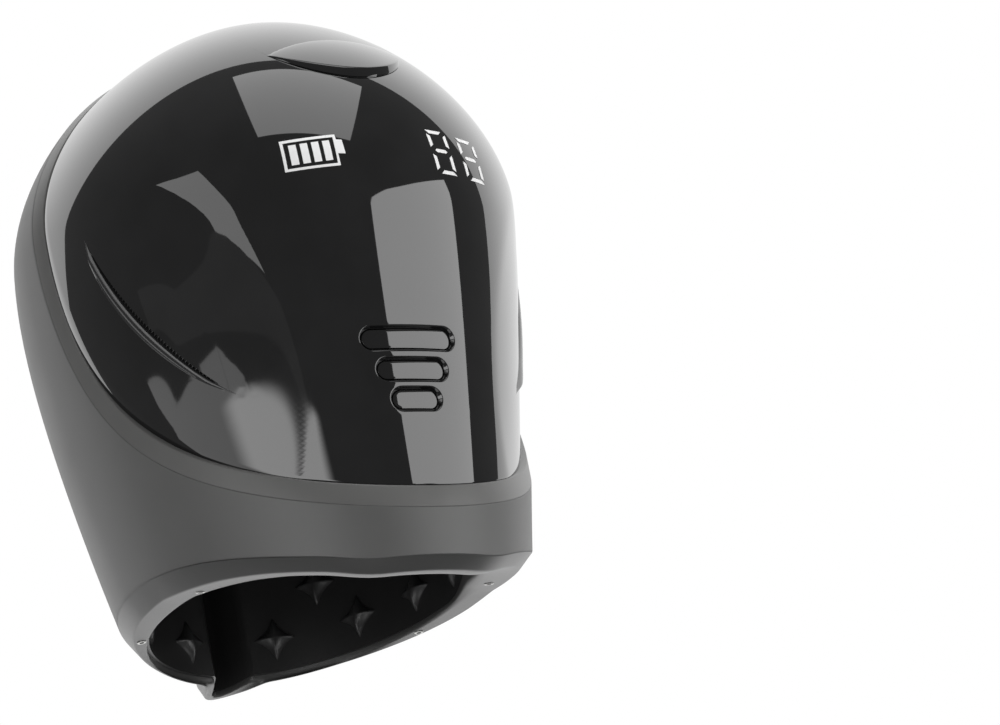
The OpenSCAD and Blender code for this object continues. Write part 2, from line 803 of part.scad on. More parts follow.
// ---- Front panel with controls and display ---------------------------------------------
// Depths from the front of the hood, back to the panel
panel_y = 36.5 - front_reach;
switch_face = 22 - front_reach;
carrier_face = 13 - front_reach;
flange_back = 9.5 - front_reach;
panel_t = 2.5;
panel_face = panel_y - panel_t;
carrier_t = 1.5;
carrier_w = button_w + 13;
carrier_low = button_height(2) - 15;
carrier_high = button_height(0) + 17;
carrier_h = carrier_high - carrier_low;
carrier_mid = (carrier_high + carrier_low) / 2;
carrier_corner = 6;
carrier_wall = 1.6;
display_z = 236;
display_w = 124;
display_h = 34;
display_lift = 2;
panel_top_x = 32;
panel_wide_x = display_w / 2;
panel_foot_x = carrier_w / 2 + 8;
post_r_small = 3;
symbol_size = [34, 18, 2.6];
digit_size = [15, 26, 2.6];
digit_pitch = 16;
digit_edge = display_w / 2;

module at_switch_posts() {
    for (sx = [-1, 1], sz = [-1, 1])
        translate([sx * (carrier_w / 2 - carrier_corner), 0,
            carrier_mid + sz * (carrier_h / 2 - carrier_corner)]) children();
}

module front_panel() {
    color("#303134") stand() {
        facing(panel_y) linear_extrude(panel_t) polygon([[-panel_top_x, deck_z], [panel_top_x, deck_z],
            [panel_wide_x, display_z + display_h / 2], [panel_wide_x, display_z - display_h / 2],
            [panel_foot_x, carrier_low], [-panel_foot_x, carrier_low],
            [-panel_wide_x, display_z - display_h / 2], [-panel_wide_x, display_z + display_h / 2]]);
        at_switch_posts() facing(panel_face)
            cylinder(r = post_r_small, h = panel_face - switch_face - board_t);
        for (s = [-1, 1]) facing(panel_face, display_z) translate([s * (display_w / 2 - 8), 0, 0])
            cylinder(r = post_r_small, h = display_lift);
    }
}

module switch_board() {
    color("#1f5b3a") stand() facing(switch_face + board_t, carrier_mid)
        translate([-carrier_w / 2, -carrier_h / 2, 0]) cube([carrier_w, carrier_h, board_t]);
}

switch_h = 3.5;
switch_r = 3;
module tact_switches() {
    color("#3a3a3c") stand() for (i = [0:2]) facing(switch_face, button_height(i))
        cylinder(r = switch_r, h = switch_h);
}

stem_r = 2.5;
stem_gap = 0.1;
module button_carrier() {
    color("#29292b") stand() difference() {
        facing(switch_face, carrier_mid) translate([-carrier_w / 2, -carrier_h / 2, 0])
            cube([carrier_w, carrier_h, switch_face - carrier_face]);
        facing(switch_face + 1, carrier_mid)
            translate([carrier_wall - carrier_w / 2, carrier_wall - carrier_h / 2, 0])
            cube([carrier_w - 2 * carrier_wall, carrier_h - 2 * carrier_wall,
                switch_face - carrier_face - carrier_t + 1]);
        for (i = [0:2]) facing(switch_face, button_height(i))
            cylinder(r = stem_r + stem_gap, h = 2 * (switch_face - carrier_face));
    }
}

pad_h = 2.1;
pad_r = 2;
module return_pads() {
    color("#c9c6bd") stand() for (i = [0:2], s = [-1, 1]) facing(carrier_face, button_height(i))
        translate([s * (button_width(i) - button_h) / 2, 0, 0]) cylinder(r = pad_r, h = pad_h);
}

// A button: face that follows the visor, flange behind the visor, and a stem
face_r = 104;
face_recess = 2.4;
flange_lip = (button_pitch - button_h) / 2 - fit_gap;
flange_t = 1.5;
stem_rest = 0.2;
module button(i) {
    w = button_width(i) - 2 * button_gap;
    h = button_h - 2 * button_gap;
    intersection() {
        facing(flange_back, button_height(i)) pill(w, h, pocket_start);
        translate([0, face_r - front_reach, 0]) cylinder(r = face_r - face_recess, h = 2 * hood_h, $fn = 96);
    }
    facing(flange_back, button_height(i))
        pill(button_width(i) + 2 * flange_lip, button_h + 2 * flange_lip, flange_t);
    stem_end = switch_face - switch_h - button_travel - stem_rest;
    facing(stem_end, button_height(i)) cylinder(r = stem_r, h = stem_end - flange_back);
}

module top_button() {
    color("#242426") stand() button(0);
}

module middle_button() {
    color("#242426") stand() button(1);
}

module lower_button() {
    color("#242426") stand() button(2);
}

module display_board() {
    color("#1f5b3a") stand() facing(panel_face - display_lift, display_z)
        translate([-display_w / 2, -display_h / 2, 0]) cube([display_w, display_h, board_t]);
}

module display_modules() {
    color("#d8d9dc") stand() facing(panel_face - display_lift - board_t, display_z) {
        translate([8 - display_w / 2, -symbol_size[1] / 2, 0]) cube(symbol_size);
        for (k = [1, 2]) translate([digit_edge - k * digit_pitch, -digit_size[1] / 2, 0]) cube(digit_size);
    }
}

visor_shell();
rear_casing();
seam_trim();
rim_ring();
head_liner();
star_bosses();
plenum_shell();
plenum_gasket();
crown_cap();
gill_left();
gill_right();
component_deck();
front_panel();
fan_shroud();
fan_motor();
motor_shaft();
impeller();
fan_grille();
heater_frame();
heater_element();
thermal_cutoff();
battery_trays();
battery_cells();
main_board();
board_parts();
display_board();
display_modules();
switch_board();
tact_switches();
button_carrier();
return_pads();
top_button();
middle_button();
lower_button();
charge_socket();
rim_screws();
deck_screws();
board_screws();
fan_screws();
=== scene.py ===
# %% [markdown]
# # Hood hair dryer
# A rigid hood goes over the head. The front is a glossy smoked visor with touch buttons and a
# display, the back and the lower band are one matte casing, and a bevelled strip joins the two.
# Below, a lip ring closes the edge round a black liner with soft star bosses.
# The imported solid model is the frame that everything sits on, so it is loaded first.

# %% Load the frame
import math

import bmesh
import bpy
import numpy as np
from mathutils import Matrix, Vector
from mathutils.geometry import delaunay_2d_cdt


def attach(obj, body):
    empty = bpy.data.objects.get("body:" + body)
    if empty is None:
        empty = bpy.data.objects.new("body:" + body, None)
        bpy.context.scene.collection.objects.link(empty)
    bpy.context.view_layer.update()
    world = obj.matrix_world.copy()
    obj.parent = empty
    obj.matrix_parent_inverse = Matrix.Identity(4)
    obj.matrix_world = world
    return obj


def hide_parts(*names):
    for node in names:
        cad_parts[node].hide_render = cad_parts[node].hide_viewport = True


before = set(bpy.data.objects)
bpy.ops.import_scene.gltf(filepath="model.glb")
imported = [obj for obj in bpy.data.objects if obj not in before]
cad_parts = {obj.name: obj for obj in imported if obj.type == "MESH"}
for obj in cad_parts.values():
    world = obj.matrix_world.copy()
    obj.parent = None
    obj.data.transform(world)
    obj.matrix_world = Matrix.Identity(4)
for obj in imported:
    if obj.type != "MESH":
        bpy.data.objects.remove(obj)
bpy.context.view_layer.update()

# %% [markdown]
# ## The form of the hood
# The real hood is one smooth shape that four shells share: visor, trim, casing and lip ring.
# Each could be modelled by eye from a ball, but then the seams would never line up. One formula for
# the whole form is surer: three outlines (side, front, back) are widths that change with height, and
# every level section is a rounded oval between them. All sizes here are in millimetres.

# %% Outlines
HOOD = dict(side=(138.5, 233, 1.78, 99, 0.96), front=(166, 210, 1.82, 170, 4),
            back=(159.5, 228, 2.18, 121, 1.18), crown_y=0, top=364, widest=(-14.5, 16, 17),
            front_round=(2.07, 2.15, 2), back_round=(1.75, 1.97, 1.6), keel=(27, 8, 24))
LINER = dict(side=(98, 160, 2, 82, 1.4), front=(117, 120, 2, 134, 2), back=(130, 160, 2, 113, 1.5),
             crown_y=8, top=250, widest=(-6, 8, 8), front_round=(2.2, 2.2, 2),
             back_round=(2, 2, 2), keel=(25, 5, 13))
KEEL_TOP, KEEL_FLARE_TOP, KEEL_FADE = 252, 172, 70
MM = 0.001


def smooth(t):
    """A soft step from 0 to 1."""
    t = np.clip(t, 0, 1)
    return t * t * (3 - 2 * t)


def three(t, v):
    """The parabola through three values at t = 0, a half and 1."""
    return v[0] * (1 - t) * (1 - 2 * t) + v[1] * 4 * t * (1 - t) + v[2] * t * (2 * t - 1)


def eased(u, m, ease=0.3):
    """A power curve from 0 to 1 that starts level."""
    low, high = ease ** m, (1 + ease * ease) ** (m / 2)
    return ((u * u + ease * ease) ** (m / 2) - low) / (high - low)


def reach(outline, z, top, centre, inset):
    """How far an outline reaches at height z.

    An outline is its full reach, the height of that, how round it is above, its reach at the foot
    and how it falls to the foot.
    """
    full, height, bulge, base, fall = outline
    up = np.clip((z - height) / (top - inset - height), 0, 1)
    down = np.clip((height - z) / height, 0, 2)
    above = centre + (full - inset - centre) * np.clip(1 - eased(up, bulge), 0, 1) ** (1 / bulge)
    return np.where(z > height, above, full - inset - (full - base) * eased(down, fall))


def level(form, z, inset):
    """Half width, front reach, back reach, widest place and the two roundnesses at height z."""
    z = np.asarray(z, float)
    t = z / form["top"]
    wide = reach(form["side"], z, form["top"], 0, inset)
    front = -reach(form["front"], z, form["top"], -form["crown_y"], inset)
    back = reach(form["back"], z, form["top"], form["crown_y"], inset)
    middle = three(t, form["widest"]) * (1 - t ** 6) + form["crown_y"] * t ** 6
    middle = np.maximum(front, np.minimum(back, middle))
    return wide, front, back, middle, three(t, form["front_round"]), three(t, form["back_round"])


def half_width(form, y, z, inset):
    """How far the form reaches to the side at depth y and height z."""
    wide, front, back, middle, nf, nb = level(form, z, inset)
    tiny = 1e-9
    ahead = np.clip((middle - y) / np.maximum(middle - front, tiny), 0, 1)
    behind = np.clip((y - middle) / np.maximum(back - middle, tiny), 0, 1)
    return np.where(y < middle, wide * (1 - ahead ** nf) ** (1 / nf), wide * (1 - behind ** nb) ** (1 / nb))


def face_y(form, x, z, inset):
    """The depth of the front surface at x and z."""
    wide, front, back, middle, nf, nb = level(form, z, inset)
    side = np.clip(np.abs(x) / wide, 0, 1)
    return middle - (middle - front) * (1 - side ** nf) ** (1 / nf)


def keel_shift(form, x, y, z, inset):
    """How far the keel pushes a point of the back outwards."""
    deep, flare, half = form["keel"]
    depth = (deep + flare * (1 - z / KEEL_FLARE_TOP)) * smooth((KEEL_TOP - z) / KEEL_FADE)
    middle = level(form, z, inset)[3]
    return np.where(y > middle, depth * np.clip(1 - (x / (half - inset)) ** 2, 0, 1) ** 2, 0)


def around(form, z, turn, inset):
    """Points at heights z and angles turn in degrees, from the face round by the wearer's left."""
    wide, front, back, middle, nf, nb = level(form, z, inset)
    s, c = np.sin(np.radians(turn)), np.cos(np.radians(turn))
    n = np.where(c > 0, nf, nb)
    x = wide * np.sign(s) * np.abs(s) ** (2 / n)
    y = np.where(c > 0, middle - (middle - front) * np.abs(c) ** (2 / n),
                 middle + (back - middle) * np.abs(c) ** (2 / n))
    return np.stack([x, y + keel_shift(form, x, y, z, inset), z + 0 * x], -1)


print("widest level:", np.round(level(HOOD, HOOD["side"][1], 0)[0], 1), "mm")

# %% [markdown]
# ## How the hood stands
# The hood rests on its front lip and on the tip of the keel, so its own frame is tipped a little.
# Every piece is worked out in the hood's frame and set on the floor by one matrix at the very end.

# %% Stand
FOOT_SPAN, FOOT_DROP = 314, 9.75
STAND_SHIFT = (0, -3.87 * MM, -4.84 * MM)
TILT = math.atan(FOOT_DROP / FOOT_SPAN)
STAND = Matrix.Translation(STAND_SHIFT) @ Matrix.Rotation(TILT, 4, "X")


def stand(points):
    """Hood frame in millimetres to the shared frame in metres."""
    p = np.asarray(points, float) * MM
    turn, shift = np.array(STAND.to_3x3()), np.array(STAND.translation)
    return p @ turn.T + shift


print("tilt:", round(math.degrees(TILT), 2), "degrees")

# %% [markdown]
# ## Camera
# A long lens keeps the hood's sides nearly parallel. The camera looks up at the hood from its right
# front, so that the open underside shows. The picture is framed with the lens shift.

# %% Camera
BACK = Vector((-0.3965, -0.8780, -0.2683))
RIGHT = Vector((0.9180, -0.3821, -0.1062))
UP = BACK.cross(RIGHT)
AIM_Z, AWAY_FROM_AIM = 0.1816, 1.590
LENS, SHIFT_X, SHIFT_Y = 100.49, 0.2236, -0.0257
camera_data = bpy.data.cameras.new("camera")
camera = bpy.data.objects.new("camera", camera_data)
bpy.context.scene.collection.objects.link(camera)
axes = Matrix((RIGHT, UP, BACK)).transposed().to_4x4()
camera.matrix_world = STAND @ Matrix.Translation(Vector((0, 0, AIM_Z)) + BACK * AWAY_FROM_AIM) @ axes
camera_data.lens = LENS
camera_data.shift_x = SHIFT_X
camera_data.shift_y = SHIFT_Y
bpy.context.scene.camera = camera
print("camera at", [round(v, 3) for v in camera.location])

# %% [markdown]
# ## Curves in the side view
# The seam between visor and casing looks like one flowing line from the side: it drops from the crown
# and swings forward under the visor. A Bezier curve in the side view gives it, and the offset of that
# curve gives every edge of the trim. The lower edge is a shallow arch.

# %% Seam and lower edge
SEAM = np.array([[14, 365], [-24, 190], [12, 120], [-170, 52]], float)
TRIM_W = 10
GAP = 0.05
KEEL_TIP_Y, RIM_RISE, RIM_EASE = 156, 24, 6
ARCH_TOP_Y, ARCH_AHEAD, ARCH_BEHIND = -39, 152.5, 186
ARCH_ROUND_AHEAD, ARCH_ROUND_BEHIND = 2.95, 1.14
LIP_HIGH, LIP_DROP = 10.5, 4
LIP_FRONT_Y, LIP_BACK_Y, LIP_RUN = -60, 50, 90


def seam_at(t, off):
    """Points of the seam at t, moved off to its side: towards the casing where off is positive."""
    t = np.asarray(t, float)[:, None]
    point = ((1 - t) ** 3 * SEAM[0] + 3 * (1 - t) ** 2 * t * SEAM[1]
             + 3 * (1 - t) * t * t * SEAM[2] + t ** 3 * SEAM[3])
    slope = (3 * (1 - t) ** 2 * (SEAM[1] - SEAM[0]) + 6 * (1 - t) * t * (SEAM[2] - SEAM[1])
             + 3 * t * t * (SEAM[3] - SEAM[2]))
    slope /= np.linalg.norm(slope, axis=1)[:, None]
    return point + off * np.stack([-slope[:, 1], slope[:, 0]], 1)


def slow_ends(count):
    """Steps from 0 to 1 that are short at both ends, where a curve crosses the centre line."""
    return (1 - np.cos(np.pi * np.linspace(0, 1, count))) / 2


def spaced(path, shares):
    """Points at the given shares of the length of a side-view path."""
    run = np.r_[0, np.cumsum(np.linalg.norm(np.diff(path, axis=0), axis=1))]
    want = shares * run[-1]
    return np.stack([np.interp(want, run, path[:, 0]), np.interp(want, run, path[:, 1])], 1)


def seam_curve(off, inset, count):
    """Side view of the seam, from the crown to the chin, where it lies on the form."""
    t = np.linspace(-0.02, 1.05, 6001)
    p = seam_at(t, off)
    wide, front, back, *_ = level(HOOD, p[:, 1], inset)
    on = np.where((p[:, 0] > front) & (p[:, 0] < back) & (p[:, 1] < HOOD["top"] - inset))[0]
    return spaced(p[on[0]:on[-1] + 1], slow_ends(count))


def rim_arch(y):
    """Height of the arch of the lower edge over the hood's own base."""
    u = y - ARCH_TOP_Y
    ahead = 1 - np.clip(-u / ARCH_AHEAD, 0, 9) ** ARCH_ROUND_AHEAD
    behind = 1 - np.clip(u / ARCH_BEHIND, 0, 9) ** ARCH_ROUND_BEHIND
    return np.maximum(0, RIM_RISE * np.where(u < 0, ahead, behind))


def rim_z(y):
    """The arch leaves the resting plane gently, over the first few millimetres of its rise."""
    rest = (KEEL_TIP_Y - y) * math.tan(TILT)
    lift = np.maximum(0, rim_arch(y) - rest)
    return rest + np.where(lift < RIM_EASE, lift * lift * (2 * RIM_EASE - lift) / RIM_EASE ** 2, lift)


def lip(y):
    """Height of the lip ring's sloping face: highest at the sides."""
    drop_ahead, drop_behind = smooth((LIP_FRONT_Y - y) / LIP_RUN), smooth((y - LIP_BACK_Y) / LIP_RUN)
    return LIP_HIGH - LIP_DROP * drop_ahead - LIP_DROP * drop_behind


print("seam runs from", seam_curve(0, 0, 3)[0].round(1), "to", seam_curve(0, 0, 3)[-1].round(1))

# %% [markdown]
# ## Making meshes from grids
# A shell is easiest to control as a grid of points: rows run one way and columns the other. A few
# helpers turn such grids into meshes, mirror half a shell, and hand the finished piece over.

# %% Mesh helpers
HALF = 110
WELD, SLIVER = 0.00002, 0.000005
SCENE = bpy.context.scene


def mesh_object(name, points, faces, sharp=40):
    """A smooth mesh from points in the hood's frame, with edges kept where they are sharp."""
    mesh = bpy.data.meshes.new(name)
    mesh.from_pydata(stand(points).tolist(), [], faces)
    work = bmesh.new()
    work.from_mesh(mesh)
    bmesh.ops.remove_doubles(work, verts=work.verts, dist=WELD)
    bmesh.ops.dissolve_degenerate(work, edges=work.edges, dist=SLIVER)
    bmesh.ops.recalc_face_normals(work, faces=work.faces)
    work.to_mesh(mesh)
    work.free()
    mesh.shade_smooth()
    mesh.set_sharp_from_angle(angle=math.radians(sharp))
    piece = bpy.data.objects.new(name, mesh)
    SCENE.collection.objects.link(piece)
    return piece


def strip_faces(rows, cols, close_rows=False, close_cols=False):
    """Faces of a grid of points; a closed direction joins its end to its start."""
    faces = []
    for i in range(rows if close_rows else rows - 1):
        for j in range(cols if close_cols else cols - 1):
            a, b = i * cols + j, i * cols + (j + 1) % cols
            c, d = ((i + 1) % rows) * cols + (j + 1) % cols, ((i + 1) % rows) * cols + j
            faces.append((a, b, c, d))
    return faces


def lofted(name, loops, sharp=40):
    """A closed band: each loop joins to the next, and the last to the first."""
    grid = np.array(loops)
    return mesh_object(name, grid.reshape(-1, 3), strip_faces(*grid.shape[:2], True, True), sharp)


def both_sides(half, form, inset):
    """A side-view curve from back to front becomes a loop round both sides of the hood."""
    y, z = half[:, 0], half[:, 1]
    x = half_width(form, y, z, inset)
    x[0] = x[-1] = 0
    left = np.stack([x, y + keel_shift(form, x, y, z, inset), z], 1)
    right = left[-2:0:-1] * [-1, 1, 1]
    return np.concatenate([left, right])


def hand_over(piece, body, slot, material, *nodes):
    """Gives a piece its finish and the body it rides on, and hides the model's nodes that it stands for;
    the slot is not used.
    """
    piece.data.materials.clear()
    piece.data.materials.append(material)
    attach(piece, body)
    if nodes:
        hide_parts(*nodes)
    print(piece.name, len(piece.data.polygons), "faces")
    return piece


# %% [markdown]
# ## Finishes
# The visor is polished and so dark that it mostly shows its surroundings. The casing is moulded with a
# fine spark texture that scatters light. Both start from the Principled shader, with noise on object
# coordinates for the grain, so the pattern stays put when a piece moves.

# %% Material helper
GRAIN_DEEP, GRAIN_DETAIL = 0.0002, 2
CLOUD_SIZE, CLOUD_DETAIL, MOTTLE_FROM, MOTTLE_TO = 28, 5, 0.35, 0.65


def finish(name, colour, roughness, grain=0.0, size=1500.0, mottle=0.0, ior=1.5, metal=0.0, coat=0.0,
           rough_spread=0.0):
    """A Principled material, with fine grain, mottled colour and uneven roughness where asked."""
    material = bpy.data.materials.new(name)
    material.use_nodes = True
    nodes, links = material.node_tree.nodes, material.node_tree.links
    shader = nodes["Principled BSDF"]
    shader.inputs["Base Color"].default_value = (*colour, 1)
    shader.inputs["Roughness"].default_value = roughness
    shader.inputs["IOR"].default_value = ior
    shader.inputs["Metallic"].default_value = metal
    shader.inputs["Coat Weight"].default_value = coat
    place = nodes.new("ShaderNodeTexCoord")
    if grain:
        noise = nodes.new("ShaderNodeTexNoise")
        noise.inputs["Scale"].default_value = size
        noise.inputs["Detail"].default_value = GRAIN_DETAIL
        bump = nodes.new("ShaderNodeBump")
        bump.inputs["Strength"].default_value = grain
        bump.inputs["Distance"].default_value = GRAIN_DEEP
        links.new(place.outputs["Object"], noise.inputs["Vector"])
        links.new(noise.outputs["Fac"], bump.inputs["Height"])
        links.new(bump.outputs["Normal"], shader.inputs["Normal"])
    if mottle or rough_spread:
        cloud = nodes.new("ShaderNodeTexNoise")
        cloud.inputs["Scale"].default_value = CLOUD_SIZE
        cloud.inputs["Detail"].default_value = CLOUD_DETAIL
        links.new(place.outputs["Object"], cloud.inputs["Vector"])
    if mottle:
        ramp = nodes.new("ShaderNodeValToRGB")
        ramp.color_ramp.elements[0].position = MOTTLE_FROM
        ramp.color_ramp.elements[1].position = MOTTLE_TO
        ramp.color_ramp.elements[0].color = (*[c * (1 - mottle) for c in colour], 1)
        ramp.color_ramp.elements[1].color = (*[c * (1 + mottle) for c in colour], 1)
        links.new(cloud.outputs["Fac"], ramp.inputs["Fac"])
        links.new(ramp.outputs["Color"], shader.inputs["Base Color"])
    if rough_spread:
        spread = nodes.new("ShaderNodeMapRange")
        spread.inputs["To Min"].default_value = roughness - rough_spread
        spread.inputs["To Max"].default_value = roughness + rough_spread
        links.new(cloud.outputs["Fac"], spread.inputs["Value"])
        links.new(spread.outputs["Result"], shader.inputs["Roughness"])
    return material


print("grain is", GRAIN_DEEP / MM, "mm deep")

# %% Materials
visor_gloss = finish("visor gloss", (0.006, 0.006, 0.0062), 0.025, mottle=0.25, ior=1.6, rough_spread=0.01)
casing_matte = finish("casing matte", (0.068, 0.068, 0.067), 0.52, grain=0.35, size=2600, mottle=0.04,
                      rough_spread=0.04)
trim_satin = finish("trim satin", (0.085, 0.085, 0.083), 0.42, grain=0.2, size=2600, mottle=0.04)
ring_satin = finish("ring satin", (0.044, 0.044, 0.0436), 0.42, grain=0.25, size=2600, mottle=0.04)
liner_black = finish("liner black", (0.018, 0.018, 0.0182), 0.42, grain=0.2, size=2200, mottle=0.1)
star_rubber = finish("star rubber", (0.026, 0.026, 0.0262), 0.34, grain=0.15, size=3000, mottle=0.1)
button_gloss = finish("button gloss", (0.006, 0.006, 0.0062), 0.03, mottle=0.2, ior=1.6)
gill_gloss = finish("gill gloss", (0.02, 0.02, 0.0205), 0.16, grain=0.05, size=2600, mottle=0.06)
gill_mesh = finish("gill mesh", (0.012, 0.012, 0.012), 0.4, grain=0.2, size=2600, mottle=0.1)
# Plain white painted where the display's light shows; the signs themselves don't glow.
painted_display_light = finish("painted display light", (0.78, 0.78, 0.78), 0.4, mottle=0.02)
print("finishes:", len(bpy.data.materials))

# %% [markdown]
# ## Visor
# The visor is a polished shell that wraps the face side from the seam to the crown. It could be cut
# from a dome with a boolean, but a cut edge spoils the reflections. Ribs are laid across it instead:
# each one runs from the seam on one side, over the centre line, to the seam on the other, so the
# grid ends exactly on the seam.

# %% Visor grid
VISOR_INSET, VISOR_WALL = 0.8, 3
RIBS, ACROSS = 150, 91


def centre_line(start, end, inset, count):
    """Side view of the centre line from the crown end of the seam to the chin end."""
    top = HOOD["top"] - inset
    s = np.linspace(0, 1, 2000)
    z_back = top - (top - start[1]) * s[::-1] ** 2
    z_front = end[1] + (top - end[1]) * np.sin(np.pi / 2 * (1 - s))
    y_back, y_front = level(HOOD, z_back, inset)[2], level(HOOD, z_front, inset)[1]
    p = np.concatenate([np.stack([y_back, z_back], 1), np.stack([y_front, z_front], 1)[1:]])
    p[0], p[-1] = start, end
    return spaced(p, slow_ends(count))


def visor_grid(off, inset, edges=()):
    """Rows from crown to chin; columns from the wearer's right to left, with edge columns outside."""
    seam = seam_curve(off, inset, RIBS)
    centre = centre_line(seam[0], seam[-1], inset, RIBS)
    v = np.linspace(-1, 1, ACROSS)
    side = seam[:, None] + (centre - seam)[:, None] * (1 - v * v)[None, :, None]
    x = half_width(HOOD, side[..., 0], side[..., 1], inset) * np.sign(v)
    grid = np.stack([x, side[..., 0], side[..., 1]], -1)
    for edge_off, edge_inset in edges:
        line = seam_curve(edge_off, edge_inset, RIBS)
        wide = half_width(HOOD, line[:, 0], line[:, 1], edge_inset)
        wide[0] = wide[-1] = 0
        column = np.stack([wide, line[:, 0], line[:, 1]], 1)[:, None]
        grid = np.concatenate([column * [-1, 1, 1], grid, column], 1)
    return grid


print("visor grid:", visor_grid(0, VISOR_INSET).shape[:2])

# %% [markdown]
# ## Cut edges and filled windows
# The visor has openings for the buttons and the gills. A grid can't follow their round outlines, so
# the cells round each opening are taken out and the window is filled again with triangles that meet
# both the grid and the opening. A boolean would do the same in one step, but it leaves thin faces
# that show in a mirror-like finish.

# %% Window helpers
def inside(points, loop):
    """Which flat points lie inside a closed loop."""
    a, b = loop, np.roll(loop, -1, 0)
    u, v = points[:, :1], points[:, 1:]
    crosses = (a[:, 1] > v) != (b[:, 1] > v)
    level_run = np.where(b[:, 1] == a[:, 1], 1, b[:, 1] - a[:, 1])
    at = a[:, 0] + (v - a[:, 1]) * (b[:, 0] - a[:, 0]) / level_run
    return np.sum(crosses & (u < at), axis=1) % 2 == 1


def filled(outline, holes, step):
    """Even triangles between a flat outline and its holes."""
    loops = [outline, *holes]
    rim = np.concatenate(loops)
    edges, first = [], 0
    for loop in loops:
        edges += [(first + i, first + (i + 1) % len(loop)) for i in range(len(loop))]
        first += len(loop)
    low, high = outline.min(0), outline.max(0)
    v = np.arange(low[1], high[1], step * 0.87)
    u = np.arange(low[0], high[0], step)
    mesh_u = u[None, :] + step / 2 * (np.arange(len(v))[:, None] % 2)
    inner = np.stack([mesh_u.ravel(), np.repeat(v, len(u))], 1)
    gap = np.min(np.hypot(*(inner[:, None] - rim[None]).transpose(2, 0, 1)), axis=1)
    flat = np.concatenate([rim, inner[gap > 0.6 * step]])
    verts, _, faces, *_ = delaunay_2d_cdt([Vector(p) for p in flat], edges, [], 0, 1e-5)
    verts = np.array([list(p) for p in verts])
    middle = np.array([verts[f].mean(0) for f in faces])
    keep = inside(middle, outline)
    for hole in holes:
        keep &= ~inside(middle, hole)
    return verts, [faces[i] for i in np.flatnonzero(keep)]


def open_window(grid, cut, needed, flat, lift, holes, step=2.5):
    """Takes the cells round the needed points out of the grid and fills in round the holes."""
    rows, cols = np.where(needed)
    r0, r1, c0, c1 = rows.min() - 2, rows.max() + 2, cols.min() - 2, cols.max() + 2
    cut[r0:r1, c0:c1] = True
    border = np.concatenate([grid[r0, c0:c1 + 1], grid[r0 + 1:r1 + 1, c1],
                             grid[r1, c0:c1][::-1], grid[r0 + 1:r1, c0][::-1]])
    points, faces = filled(border[:, flat], holes, step)
    return lift(points), faces


class Shell:
    """Collects points and faces of one piece."""

    def __init__(self):
        self.points, self.faces, self.count = [], [], 0

    def add(self, points, faces):
        self.points.append(np.reshape(points, (-1, 3)))
        self.faces += [tuple(self.count + i for i in f) for f in faces]
        self.count += len(self.points[-1])

    def add_grid(self, grid, cut=None, close_rows=False, close_cols=False):
        faces = strip_faces(*grid.shape[:2], close_rows, close_cols)
        if cut is not None:
            faces = [f for f, out in zip(faces, cut.ravel()) if not out]
        self.add(grid, faces)

    def all_points(self):
        return np.concatenate(self.points)


print("window helpers ready")

# %% [markdown]
# ## Openings for the buttons
# Each button sits in its own pill-shaped opening with a sloping wall. The opening is a stack of pill
# outlines that get smaller as they go deeper, so its upper edge is softly rounded like moulded plastic.

# %% Pill openings
# Width, height and place over the base of each opening.
PILLS = {"top_button": (54.5, 14, 131.5), "middle_button": (41.5, 13.5, 114.8),
         "lower_button": (29.5, 13.5, 99)}
# How far the wall of an opening has moved inwards at each depth under the face.
RECESS = ((-0.5, 0), (-0.25, 0.02), (0, 0.1), (0.2, 0.28), (0.4, 0.55), (1.6, 2.3), (1.75, 2.6),
          (1.75, VISOR_WALL))


def pill(width, height, z, inset=0):
    """Flat outline of a pill, moved inwards by inset."""
    radius, half = height / 2 - inset, (width - height) / 2
    bend = np.radians(np.linspace(-90, 90, 21))
    right = np.stack([half + radius * np.cos(bend), radius * np.sin(bend)], 1)
    run = np.linspace(1, -1, 14)[1:-1, None] * half
    over = np.concatenate([run, 0 * run + radius], 1)
    return np.concatenate([right, over, -right, -over]) + [0, z]


def on_front(flat, inset):
    """Lifts flat points in x and z onto the front of the hood."""
    x, z = flat[:, 0], flat[:, 1]
    return np.stack([x, face_y(HOOD, x, z, inset), z], 1)


pill_low = min(z - h / 2 for w, h, z in PILLS.values())
pill_high = max(z + h / 2 for w, h, z in PILLS.values())
pill_half = max(w for w, h, z in PILLS.values()) / 2
print("pill openings:", len(PILLS), "between", pill_low, "and", pill_high, "mm")

# %% [markdown]
# ## Openings for the gills
# A gill is a slim crescent on the temple, bowed down and back. Its two edges are arcs with the same
# ends and different sags, so one formula with the sag as a number gives every line of it.

# %% Gill lines
GILL_FOOT, GILL_TOP = np.array([-124.0, 113.0]), np.array([-50.0, 220.0])
GILL_LOW, GILL_HIGH, GILL_GAP = 13.5, 6, 0.15
GILL_STEPS = 60


def gill_line(sag, t):
    """Side view of one line of the gill, from the foot at t = 0 to the top at t = 1."""
    chord = GILL_TOP - GILL_FOOT
    bow = np.array([chord[1], -chord[0]]) / np.linalg.norm(chord)
    t = np.asarray(t, float)[..., None]
    return GILL_FOOT + chord * t + bow * np.asarray(sag)[..., None] * 4 * t * (1 - t)


def on_side(flat, inset, side):
    """Lifts flat points in y and z onto one side of the hood: 1 is the wearer's left."""
    y, z = flat[..., 0], flat[..., 1]
    return np.stack([side * half_width(HOOD, y, z, inset), y, z], -1)


gill_run = np.linspace(0, 1, GILL_STEPS)
gill_hole = np.concatenate([gill_line(GILL_LOW + GILL_GAP, gill_run),
                            gill_line(GILL_HIGH - GILL_GAP, gill_run)[-2:0:-1]])
print("gill opening:", len(gill_hole), "corners")

# %% [markdown]
# ## Soft dish on each temple
# Beside a soft crease the visor sinks by a few millimetres, which keeps the reflections lively. It
# could be sculpted, but then every cut edge would have to be sculpted with it. A formula that pushes
# points inwards moves the shell, its openings and its gills by the same amount.

